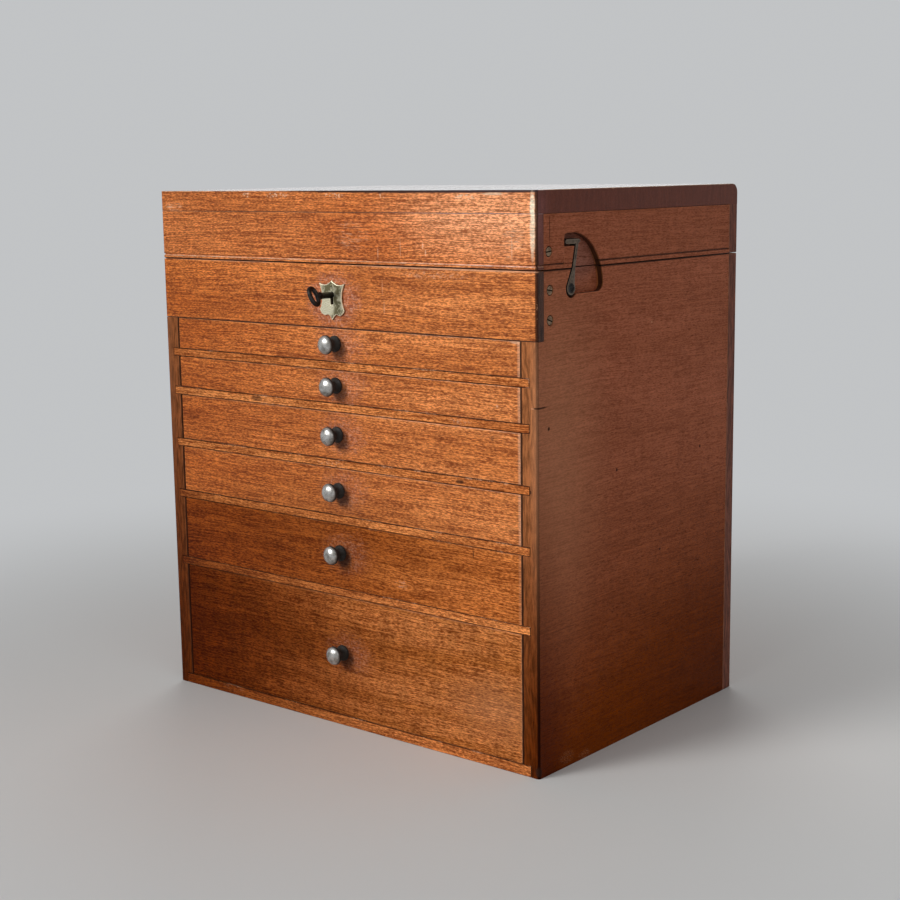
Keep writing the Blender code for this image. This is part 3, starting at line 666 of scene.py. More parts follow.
def make_mark_group() -> Tree:
    """An oval patch, solid out to its core, with a ragged rim.

    Returns:
        The node group.
    """
    inputs = ("Vector", "Centre", "Radii", "Core", "Ragged")
    graph, given, out = new_group("soft_mark", inputs, ("Mask",))
    offset = graph.vector("SUBTRACT", given["Vector"], given["Centre"])
    offset = graph.vector("DIVIDE", offset, given["Radii"])
    rim = graph.math("SUBTRACT", graph.noise(given["Vector"], 190.0, 4.0, 0.65), 0.5)
    reach = graph.line(rim, given["Ragged"], graph.vector("LENGTH", offset))
    graph.feed(out["Mask"], graph.step(reach, given["Core"], 1.0, 1.0, 0.0))
    return graph.tree


def make_scratch_group() -> Tree:
    """Fine scratches in two directions, and crumbs.

    Returns:
        The node group.
    """
    graph, given, out = new_group("fine_scratches", ("Vector",), ("Mask", "Crumbs"))
    lines = []
    for turn, stretch in (((0.2, 1.0, 0.3), (40, 900, 900)), ((0.6, 2.2, 0.1), (60, 1300, 1300))):
        level = graph.noise(graph.mapped(given["Vector"], Rotation=turn, Scale=stretch), 1.0, 1.0, 0.5)
        near = graph.math("ABSOLUTE", graph.math("SUBTRACT", level, 0.62))
        lines.append(graph.step(near, 0.0, 0.035, 1.0, 0.0))
    graph.feed(out["Mask"], graph.math("MAXIMUM", *lines))
    graph.feed(out["Crumbs"], graph.step(graph.noise(given["Vector"], 480.0, 3.0, 0.6), 0.5, 0.6))
    return graph.tree


def make_metal_group() -> Tree:
    """Age on metal: blotches of tarnish and hairline polishing scratches.

    Returns:
        The node group.
    """
    graph, given, out = new_group("aged_metal", ("Vector",), ("Tarnish", "Hairlines"))
    graph.feed(out["Tarnish"], graph.step(graph.noise(given["Vector"], 210.0, 5.0, 0.65), 0.38, 0.66))
    lay = graph.mapped(given["Vector"], Rotation=(0.4, 0.7, 0.2), Scale=(300, 3800, 3800))
    graph.feed(out["Hairlines"], graph.noise(lay, 1.0, 2.0, 0.6))
    return graph.tree


GRAIN_GROUP = make_grain_group()
EDGE_GROUP = make_edge_group()
MARK_GROUP = make_mark_group()
SCRATCH_GROUP = make_scratch_group()
METAL_GROUP = make_metal_group()
HALO_RED = (0.42, 0.125, 0.075)
HALO_CRUMB = (0.84, 0.46, 0.32)
# Colour of dark stains, also used for painted shade.
STAIN_AND_SHADE_BLACK = (0.035, 0.014, 0.009)
RAW_PALE = (0.98, 0.88, 0.66)
SEED_STRIDES = (0.731, 0.377, 0.213)
STREAK_SHARES = (1.0, 1.35, 1.6)
OVERLAY_SHARE = 0.35
# Share of the painted shade on corner turns and on edges along gaps.
SHADE_COVER = 0.92
PORE_COVER = 0.7
HALO_COVER = 0.55
CRUMB_SHARE = 0.5
SCUFF_COVER = 0.8
MARK_COVER = 0.9
STREAK_GLOSS = 0.08
STREAK_RELIEF = 0.3
DRY_ROUGHNESS = 0.22


@dataclass(frozen=True)
class Wood:
    """A finish of polished or bare wood."""

    pale: Color
    heart: Color
    pore: Color
    end: Color
    worn: Color
    # Colour of the painted shade on the turn of rounded corners and along gaps.
    corner: Color = (0.04, 0.01, 0.003)
    # Colour painted on upward faces, as shade on the lid's top.
    top: Color | None = None
    contrast: float = 0.47
    ripple: float = 0.06
    end_figure: float = 0.5
    # Whether every arris, not only the downward ones, is painted dark as shade in the gaps.
    sooty: bool = False
    gloss: float = 0.36
    wear: float = 0.75
    wear_width: float = 0.0018
    shine: float = 0.15
    polish: float = 0.05

    def material(
        self, name: str, low: Sequence[float], high: Sequence[float], grain: Grain, marks: Iterable[Mark]
    ) -> Material:
        """Make the finish of one board.

        Args:
            name: name of the material, which also picks the stretch of grain.
            low: lowest corner of the board.
            high: highest corner of the board.
            grain: way of its grain.
            marks: marks on it.

        Returns:
            The material.
        """
        finish, graph, shader = new_finish(name)
        coords = graph.node("ShaderNodeTexCoord").outputs
        place, normal = coords["Object"], coords["Normal"]
        turn, axis = grain.value
        seed = sum(map(ord, name)) % 89
        shift = tuple(seed * stride for stride in SEED_STRIDES)
        fibre = graph.place(GRAIN_GROUP, Vector=graph.mapped(place, Rotation=turn, Location=shift))
        color = self.bare_color(graph, fibre, graph.vector("DOT_PRODUCT", normal, axis))
        facing = graph.parts(normal)
        arris = graph.attribute("arris")
        # Painted shade on the turn of the rounded corners and on the arrises along gaps.
        dark = self.grimy(graph, facing, arris)
        color = graph.mix(graph.times(dark, SHADE_COVER), color, self.corner)
        coat = self.polish
        # Upward faces take the top colour: painted shade under a full coat.
        if self.top is not None:
            coat = graph.step(facing["Z"], 0.7, 0.95)
            color = graph.mix(coat, color, self.top)
        edges = graph.place(EDGE_GROUP, Vector=place, Low=low, High=high, Width=self.wear_width)["Mask"]
        rubbed = graph.step(graph.noise(place, 160.0, 3.0, 0.6), 0.38, 0.66, 0.35, 1.0)
        rubbed = graph.times(rubbed, graph.math("SUBTRACT", arris, dark, clamp=True))
        wear = graph.times(graph.math("MAXIMUM", edges, rubbed), self.wear)
        color = graph.mix(wear, color, self.worn)
        scratches = graph.place(SCRATCH_GROUP, Vector=place)
        for mark in marks:
            color = self.marked(graph, color, mark, place, scratches)
        depth = OVERLAY_SHARE * self.contrast
        lines = graph.line(fibre["Streaks"], 2 * depth, 1.0 - depth)
        dull = graph.line(fibre["Streaks"], -STREAK_GLOSS, self.gloss + STREAK_GLOSS / 2)
        dry = graph.times(graph.math("MAXIMUM", wear, fibre["Pores"]), DRY_ROUGHNESS)
        relief = graph.math("SUBTRACT", graph.times(fibre["Streaks"], STREAK_RELIEF), fibre["Pores"])
        looks = {
            "Base Color": graph.mix(1.0, color, lines, "MULTIPLY"),
            "Roughness": graph.math("ADD", dull, dry),
            "Normal": graph.bump(relief, strength=0.35, distance=0.00025),
            "Specular IOR Level": self.shine,
            "Coat Weight": coat,
            "Coat Roughness": 0.15,
        }
        graph.dress(shader, looks)
        return finish

    def grimy(self, graph: Graph, facing: Outputs, arris: Socket) -> Socket:
        """Find the painted shade on the turn of a rounded corner and on the edges along a gap.

        Args:
            graph: material's graph.
            facing: parts of the surface normal.
            arris: mask of the softened edges.

        Returns:
            The mask of the painted shade.
        """
        turn = graph.math("ABSOLUTE", facing["X"])
        bend = graph.times(graph.step(turn, 0.0, 0.4), graph.step(turn, 0.92, 1.0, 1.0, 0.0))
        corner = graph.times(graph.attribute("corner"), bend)
        # Every arris is painted dark, as shade in the gaps above and below.
        if self.sooty:
            return graph.math("MAXIMUM", corner, arris)
        # Downward arrises are painted dark, as shade under the edges along gaps.
        under = graph.step(graph.times(facing["Z"], -1.0), 0.15, 0.5)
        return graph.math("MAXIMUM", corner, graph.times(arris, under))

    def bare_color(self, graph: Graph, fibre: Outputs, slant: Socket) -> Socket:
        """Lay out the grain's colours, and the end grain where the board is cut across.

        Args:
            graph: material's graph.
            fibre: outputs of the grain group.
            slant: how far the surface faces along the grain.

        Returns:
            The colour without marks and wear.
        """
        color = graph.mix(fibre["Figure"], self.heart, self.pale)
        depth = [self.contrast * share for share in STREAK_SHARES]
        dark = tuple(1.0 - part for part in depth)
        light = tuple(1.0 + part for part in depth)
        color = graph.vector("MULTIPLY", color, graph.mix(fibre["Streaks"], dark, light))
        wave = graph.line(fibre["Ripple"], 2 * self.ripple, 1.0 - self.ripple)
        color = graph.vector("MULTIPLY", color, wave)
        color = graph.mix(graph.times(fibre["Pores"], PORE_COVER), color, self.pore)
        cut = graph.line(fibre["Ends"], 2 * self.end_figure, 1.0 - self.end_figure)
        across = graph.step(graph.math("ABSOLUTE", slant), 0.6, 0.9)
        return graph.mix(across, color, graph.vector("MULTIPLY", self.end, cut))

    def marked(self, graph: Graph, color: Socket, mark: Mark, place: Socket, scratches: Outputs) -> Socket:
        """Lay one mark over a colour.

        Args:
            graph: material's graph.
            color: colour so far.
            mark: mark to lay.
            place: point on the cabinet.
            scratches: outputs of the scratch group.

        Returns:
            The colour with the mark.
        """
        feeds = {"Centre": mark.centre, "Radii": mark.radii, "Core": mark.core, "Ragged": mark.ragged}
        patch = graph.times(graph.place(MARK_GROUP, Vector=place, **feeds)["Mask"], mark.strength)
        # A tint multiplies the colour, for painted shade and a painted sheen as well as for tone.
        if mark.kind is AGED:
            return graph.mix(patch, color, mark.tint, "MULTIPLY")
        if mark.kind is HALO:
            color = graph.mix(graph.times(patch, HALO_COVER), color, HALO_RED)
            crumbs = graph.times(scratches["Crumbs"], CRUMB_SHARE)
            return graph.mix(graph.times(patch, crumbs), color, HALO_CRUMB)
        if mark.kind is RAW:
            crumbs = graph.line(scratches["Crumbs"], CRUMB_SHARE, 1.0 - CRUMB_SHARE)
            return graph.mix(graph.times(patch, crumbs), color, RAW_PALE)
        if mark.kind is CHIPS:
            patch = graph.times(patch, scratches["Crumbs"])
        elif mark.kind is SCUFF:
            patch = graph.times(patch, graph.times(scratches["Mask"], SCUFF_COVER))
        # Dark marks paint stains and painted shade; pale marks paint wear and painted sheen.
        tone = STAIN_AND_SHADE_BLACK if mark.kind is STAIN else self.worn
        return graph.mix(graph.times(patch, MARK_COVER), color, tone)


POLISHED_FRONT = Wood(
    pale=(0.61, 0.2, 0.056),
    heart=(0.47, 0.136, 0.031),
    pore=(0.2, 0.042, 0.007),
    end=(0.078, 0.028, 0.015),
    worn=(0.74, 0.38, 0.22),
)
DARK_FRONT = Wood(
    pale=(0.49, 0.163, 0.046),
    heart=(0.35, 0.103, 0.02),
    pore=(0.12, 0.025, 0.004),
    end=(0.1, 0.036, 0.018),
    worn=(0.6, 0.27, 0.13),
    ripple=0.12,
    shine=0.03,
    polish=0.0,
)
# Rails paint all their arrises dark, as shade in the gaps above and below them.
RAIL = Wood(
    pale=(0.6, 0.2, 0.055),
    heart=(0.45, 0.13, 0.032),
    pore=(0.2, 0.05, 0.011),
    end=(0.1, 0.036, 0.018),
    worn=(0.74, 0.4, 0.24),
    sooty=True,
    shine=0.06,
    polish=0.0,
)
BROWN_FRONT = replace(
    RAIL,
    pale=(0.52, 0.155, 0.035),
    heart=(0.38, 0.1, 0.018),
    pore=(0.15, 0.032, 0.005),
    worn=(0.66, 0.31, 0.16),
    sooty=False,
)
# The lid's arrises wear pale, along the bead most of all: wear together with a painted highlight.
LID = Wood(
    pale=(0.62, 0.19, 0.05),
    heart=(0.5, 0.14, 0.033),
    pore=(0.2, 0.048, 0.011),
    end=(0.16, 0.037, 0.018),
    worn=(0.85, 0.55, 0.36),
    end_figure=0.15,
    wear=0.85,
)
# The top board paints its upward faces dark, as shade on the lid's top.
LID_TOP = replace(LID, top=(0.1, 0.03, 0.012))
POLISHED_SIDE = Wood(
    pale=(0.43, 0.129, 0.063),
    heart=(0.38, 0.111, 0.051),
    pore=(0.18, 0.042, 0.013),
    end=(0.33, 0.115, 0.04),
    worn=(0.6, 0.27, 0.14),
    contrast=0.2,
    ripple=0.04,
    gloss=0.3,
    wear=0.3,
    shine=0.03,
    polish=0.0,
)
BACK = Wood(
    pale=(0.34, 0.11, 0.045),
    heart=(0.26, 0.08, 0.03),
    pore=(0.1, 0.03, 0.014),
    end=(0.18, 0.056, 0.032),
    worn=(0.42, 0.2, 0.11),
    contrast=0.18,
    gloss=0.5,
    polish=0.0,
)
DRAWER_LINING = Wood(
    pale=(0.5, 0.26, 0.12),
    heart=(0.38, 0.18, 0.08),
    pore=(0.18, 0.075, 0.034),
    end=(0.24, 0.11, 0.05),
    worn=(0.6, 0.36, 0.2),
    contrast=0.18,
    gloss=0.6,
    wear=0.3,
    polish=0.0,
)


EDGE_RUB = 0.9
TARNISH_COVER = 0.85
TARNISH_RELIEF = 0.6
RUB_REACH = (0.005, 0.011)
RUB_LEFT = 0.1
HAIRLINE_GLOSS = 0.16
# Share and roughness of the dark dirt and painted shade.
DEEP_GRIME_AND_SHADE_COVER = 0.95
GRIME_AND_SHADE_ROUGHNESS = 0.3


@dataclass(frozen=True)
class Metal:
    """A finish of old metal: bright where it is rubbed, tarnished elsewhere, dark with dirt and painted shade
    behind a depth and on flagged faces.
    """

    name: str
    bright: Color
    tarnished: Color
    # Colour of dirt and painted shade.
    grime: Color
    gloss: float = 0.3
    dull: float = 0.5
    grime_from: float | None = None
    grime_fade: float = 0.0024
    edge_metal: float = 1.0
    patina: float = 0.15
    rubbed: Point | None = None

    def material(self) -> Material:
        """Make the finish.

        Returns:
            The material.
        """
        finish, graph, shader = new_finish(self.name)
        place = graph.node("ShaderNodeTexCoord").outputs["Object"]
        age = graph.place(METAL_GROUP, Vector=place)
        arris = graph.attribute("arris")
        tarnish = graph.times(age["Tarnish"], graph.line(arris, -EDGE_RUB, 1.0))
        least = graph.line(arris, -self.patina, self.patina)
        tarnish = graph.line(tarnish, TARNISH_COVER, least, clamp=True)
        if self.rubbed is not None:
            away = graph.vector("LENGTH", graph.vector("SUBTRACT", place, self.rubbed))
            tarnish = graph.times(tarnish, graph.step(away, *RUB_REACH, RUB_LEFT))
        color = graph.mix(tarnish, self.bright, self.tarnished)
        rough = graph.line(tarnish, self.dull - self.gloss, self.gloss)
        rough = graph.math("ADD", rough, graph.line(age["Hairlines"], HAIRLINE_GLOSS, -HAIRLINE_GLOSS / 2))
        # Flagged faces, and everything behind a depth, turn dark: dirt together with painted shade in slots,
        # gaps and behind the knobs' heads.
        grime_and_shade_share = graph.attribute("grime")
        if self.grime_from is not None:
            deep_grime_and_shade = graph.step(graph.parts(place)["Y"], self.grime_from, self.grime_from + self.grime_fade)
            grime_and_shade_share = graph.math("MAXIMUM", grime_and_shade_share, graph.times(deep_grime_and_shade, DEEP_GRIME_AND_SHADE_COVER))
        metal = graph.line(arris, self.edge_metal - 1.0, 1.0)
        relief = graph.line(tarnish, TARNISH_RELIEF, age["Hairlines"])
        looks = {
            "Base Color": graph.mix(grime_and_shade_share, color, self.grime),
            "Roughness": graph.line(grime_and_shade_share, GRIME_AND_SHADE_ROUGHNESS, rough),
            "Metallic": graph.math("SUBTRACT", metal, grime_and_shade_share, clamp=True),
            "Normal": graph.bump(relief, strength=0.12, distance=0.0001),
            "Specular IOR Level": 0.1,
        }
        graph.dress(shader, looks)
        return finish


# Behind its front the knob is painted near black: dirt with painted shade on the neck and foot, and a painted
# dark reflection on the head's rim.
KNOB_STEEL = Metal(
    "worn_steel",
    bright=(0.72, 0.7, 0.67),
    tarnished=(0.27, 0.25, 0.225),
    grime=(0.012, 0.009, 0.007),
    gloss=0.2,
    dull=0.34,
    grime_from=FRONT - 0.0137,
).material()
PLAIN_STEEL = Metal(
    "plain_steel", bright=(0.55, 0.53, 0.5), tarnished=(0.3, 0.28, 0.25), grime=(0.03, 0.026, 0.022)
).material()
# The plate's softened rim is pale, barely metallic brass: wear and a painted highlight.
PLATE_BRASS = Metal(
    "tarnished_brass",
    bright=(1.0, 0.92, 0.66),
    tarnished=(0.17, 0.15, 0.08),
    grime=(0.05, 0.045, 0.025),
    gloss=0.25,
    dull=0.45,
    edge_metal=0.35,
    patina=0.42,
    rubbed=(-0.0062, -0.1397, 0.3405),
).material()
FITTING_BRASS = Metal(
    "dull_brass", bright=(0.62, 0.5, 0.28), tarnished=(0.33, 0.24, 0.13), grime=(0.04, 0.03, 0.018)
).material()
SCREW_BRASS = Metal(
    "brown_brass",
    bright=(0.31, 0.21, 0.13),
    tarnished=(0.15, 0.09, 0.055),
    grime=(0.012, 0.007, 0.005),
    gloss=0.36,
    dull=0.55,
).material()
DARK_IRON = Metal(
    "dark_iron",
    bright=(0.17, 0.125, 0.09),
    tarnished=(0.065, 0.045, 0.033),
    grime=(0.012, 0.009, 0.008),
    gloss=0.35,
).material()
KEY_IRON = Metal(
    "black_iron",
    bright=(0.045, 0.04, 0.038),
    tarnished=(0.015, 0.013, 0.012),
    grime=(0.008, 0.007, 0.006),
    gloss=0.32,
).material()


def recess_marks(side: Side) -> list[Mark]:
    """The painted shade on the wall and on the greyish floor of a hook's recess.

    Args:
        side: side of the cabinet.

    Returns:
        The two marks.
    """
    wall = (side.value * (HALF - 0.0027), -0.08, 0.372)
    floor = (side.value * (HALF - 0.0062), -0.08, 0.39)
    return [
        Mark(STAIN, wall, (0.0025, 0.05, 0.06), 0.95, 0.75, 0.2),
        Mark(AGED, floor, (0.0025, 0.05, 0.034), 1.0, 0.5, 0.1, (0.77, 0.95, 1.3)),
    ]


def dim(
    across: float,
    up: float,
    wide: float,
    high: float,
    strength: float = 1.0,
    core: float = 0.0,
    tint: Color = Mark.tint,
) -> Mark:
    """A broad, soft tinted patch on the front; most of these paint shade where the light falls off."""
    return Mark(AGED, (across, FRONT, up), (wide, 0.2, high), strength, core, 0.12, tint)


# Painted shade where the light falls off towards the lower left corner.
SHADED_CORNER = dim(-0.2, 0.02, 0.32, 0.28, tint=(0.34, 0.19, 0.0))
# Painted shade low at the far left end.
SHADED_END = dim(-0.2, 0.1, 0.06, 0.12, 0.5, 0.1)
DIM_MIDDLE = dim(-0.03, 0.155, 0.22, 0.06, 0.42, 0.3, (0.45, 0.4, 0.2))
# Painted shade along the foot, to the left.
SHADED_FOOT = dim(-0.19, 0.06, 0.3, 0.13, 0.45, 0.2)
# Painted shade on the left of the upper drawers.
SHADED_LEFT = dim(-0.2, 0.25, 0.26, 0.08, 0.25)
RED_LEFT = dim(-0.25, 0.25, 0.4, 0.7, tint=(0.93, 0.74, 0.45))
FRONT_ROUNDS = {Side.LEFT: 0.0008, Side.RIGHT: 0.002}


def round_corners(shape: Shape) -> None:
    """Round the upright front corners, of which the right one is worn more, and mark their faces for painted
    shade where they turn.

    Args:
        shape: mesh of a board.
    """
    for side, width in FRONT_ROUNDS.items():

        def at_corner(middle: Vector, side: Side = side) -> bool:
            """Whether an edge stands at the corner."""
            return middle.x * side.value > HALF - NEAR and middle.y < FRONT + NEAR

        soften(shape, width, at_corner, segments=5, label="corner")


@dataclass
class Board:
    """One board of the cabinet, made from its CAD node with softened edges."""

    node: str
    wood: Wood
    grain: Grain = Grain.ACROSS
    marks: Sequence[Mark] = ()
    arris: float = 0.0004
    slot: Slot = Slot.MAHOGANY
    covered: Sequence[Face] = ()
    rounds_corners: bool = False

    def shape(self) -> Shape:
        """Copy the CAD node, round the front corners if they are round, and soften the other edges.

        Returns:
            The board's shape.
        """
        shape = merged_copy(self.node)
        if self.rounds_corners:
            round_corners(shape)
        soften(shape, self.arris)
        return shape

    def make(self, body: str) -> bpy.types.Object:
        """Make the board and let it ride on a body.

        Args:
            body: body that carries it.

        Returns:
            The board's piece.
        """
        shape = self.shape()
        smooth_rounds(shape)
        low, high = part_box(self.node)
        for face in self.covered:
            axis, is_high = face.value
            corner = high if is_high else low
            corner[axis] += 1.0 if is_high else -1.0
        finish = self.wood.material(f"{self.node}_wood", low, high, self.grain, self.marks)
        return place_piece(f"{self.node}_board", shape, body, finish, (self.node,))


@dataclass
class LidTop(Board):
    """The lid's top board, whose upper edges are rounded more."""

    edge_round: float = 0.0011

    def shape(self) -> Shape:
        """Round the front corners, the upper edges and then the rest.

        Returns:
            The board's shape.
        """
        shape = merged_copy(self.node)
        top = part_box(self.node)[1].z
        round_corners(shape)
        soften(shape, self.edge_round, lambda middle: middle.z > top - NEAR, segments=4)
        soften(shape, self.arris)
        return shape


@dataclass
class LidBack(Board):
    """The lid's back board, drawn up against the top board."""

    gap: float = LID_GAP

    def shape(self) -> Shape:
        """Lift the board's upper side to the top board and soften its other edges.

        Returns:
            The board's shape.
        """
        shape = merged_copy(self.node)
        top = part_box(self.node)[1].z
        for vert in shape.verts:
            if vert.co.z > top - FINE:
                vert.co.z += self.gap
        soften(shape, self.arris, lambda middle: middle.z < top - FINE)
        return shape


@dataclass
class LidSide(Board):
    """A side board of the lid, bored for its screw."""

    bore: tuple[Point, Point] = ((HALF, -0.1237, 0.3867), (1, 0, 0))
    bore_radius: float = 0.00385
    bore_depth: float = 0.0065

    def shape(self) -> Shape:
        """Bore the screw's hole and soften the edges.

        Returns:
            The board's shape.
        """
        hole = drill(*self.bore, self.bore_radius, self.bore_depth)
        shape = carved(merged_copy(self.node), [hole])
        soften(shape, self.arris)
        return shape


@dataclass
class LidFront(Board):
    """The lid's front board, drawn in plan level by level, so that its bead runs round the corners."""

    lap: float = -0.13
    shoulder: float = 0.1822
    inner: float = -0.116
    bead: float = 0.0028
    groove: float = 0.0009
    lip: float = 0.0005
    least_round: float = 0.00005
    seat_spare: float = 0.0015
    square: float = 0.05

    def outline(self, level: float, inset: float) -> list[Point]:
        """The board in plan with rounded front corners.

        Args:
            level: height of the outline.
            inset: how far the front and the ends are set in.

        Returns:
            The outline's points.
        """
        halves = {}
        for side, width in FRONT_ROUNDS.items():
            radius = max(width - inset, self.least_round)
            reach, front = HALF - inset - radius, FRONT + inset + radius
            half = []
            for step in range(7):
                turn = math.pi / 12 * step
                half.append((reach + radius * math.sin(turn), front - radius * math.cos(turn)))
            half += [(HALF - inset, self.lap), (self.shoulder, self.lap), (self.shoulder, self.inner)]
            halves[side] = [(side.value * x, y, level) for x, y in half]
        return halves[Side.LEFT][::-1] + halves[Side.RIGHT]

    def shape(self) -> Shape:
        """Draw the bead, the groove above it and the face, and carve the seat of the lock's plate.

        Returns:
            The board's shape.
        """
        low, high = (corner.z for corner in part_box(self.node))
        bead, groove = low + self.bead, low + self.bead + self.groove
        levels = (
            (low - self.lip, 0.0013),
            (low, 0.0011),
            (low, 0.0007),
            (low + 0.0002, 0.0003),
            (low + 0.0007, 0.0),
            (bead - 0.0007, 0.0),
            (bead - 0.0002, 0.0003),
            (bead, 0.0007),
            (bead + 0.0001, self.groove),
            (groove, self.groove),
            (groove + 0.0001, 0.0003),
            (groove + 0.0004, 0.0),
            (high, 0.0),
            (high + LID_GAP - FINE, 0.0002),
        )
        shape = lofted([self.outline(level, inset) for level, inset in levels])
        plate_low, plate_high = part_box("lock_link_plate")
        spare = Vector((NEAR, NEAR, NEAR))
        plate_low.z = low - self.seat_spare
        seat = rounded_block(plate_low - spare, plate_high + spare, width=0.0001)
        shape = carved(shape, [seat])
        # Faces on the turn of the front corners are marked for painted shade, and the bead's slopes as
        # arrises.
        corner, arris = face_layer(shape, "corner"), face_layer(shape, "arris")
        shape.normal_update()
        for face in shape.faces:
            middle = face.calc_center_median()
            turning = min(abs(face.normal.x), abs(face.normal.y)) > self.square
            face[corner] = float(turning and middle.y < FRONT + FRONT_ROUNDS[Side.RIGHT])
            sloping = self.square < abs(face.normal.z) < 1 - self.square
            face[arris] = float(sloping and middle.y < self.lap)
        return shape


@dataclass
class SlottedScrew:
    """A countersunk screw whose slotted head lies in a face."""

    place: Point
    direction: Point
    radius: float = 0.00375
    length: float = 0.006
    slot_width: float = 0.0009
    slot_depth: float = 0.0008
    slot_turn: float = 0.0
    grime_from: float = 0.88
    steps: int = 32

    def shape(self) -> Shape:
        """Turn the head and cut its slot.

        Returns:
            The screw.
        """
        radius, rim, shank = self.radius, self.radius / 7, self.radius * 0.45
        profile = (
            (-self.length, 0.0),
            (-self.length, shank),
            (-radius * 0.6, shank),
            (-rim * 2, radius),
            (-rim, radius),
            (0.0, radius - rim),
            (0.0, 0.0),
        )
        shape = turned(profile, self.steps)
        across = Vector((math.sin(self.slot_turn), math.cos(self.slot_turn), 0.0))
        for reach in (-self.slot_width / 2, self.slot_width / 2):
            slice_at(shape, across * reach, across)

        def in_slot(face: bmesh.types.BMFace) -> bool:
            """Whether a face of the flat top lies between the slot's edges."""
            middle = face.calc_center_median()
            return abs(middle.z) < FINE and abs(middle.dot(across)) < self.slot_width / 2

        sink(shape, in_slot, (0, 0, -self.slot_depth))
        bmesh.ops.recalc_face_normals(shape, faces=shape.faces)
        # The rim round the head is painted dark like the slot: dirt and painted shade in the creases.
        grime = face_layer(shape, "grime")
        for face in shape.faces:
            if face.calc_center_median().xy.length > radius * self.grime_from:
                face[grime] = 1.0
        return moved_to(shape, self.place, self.direction)


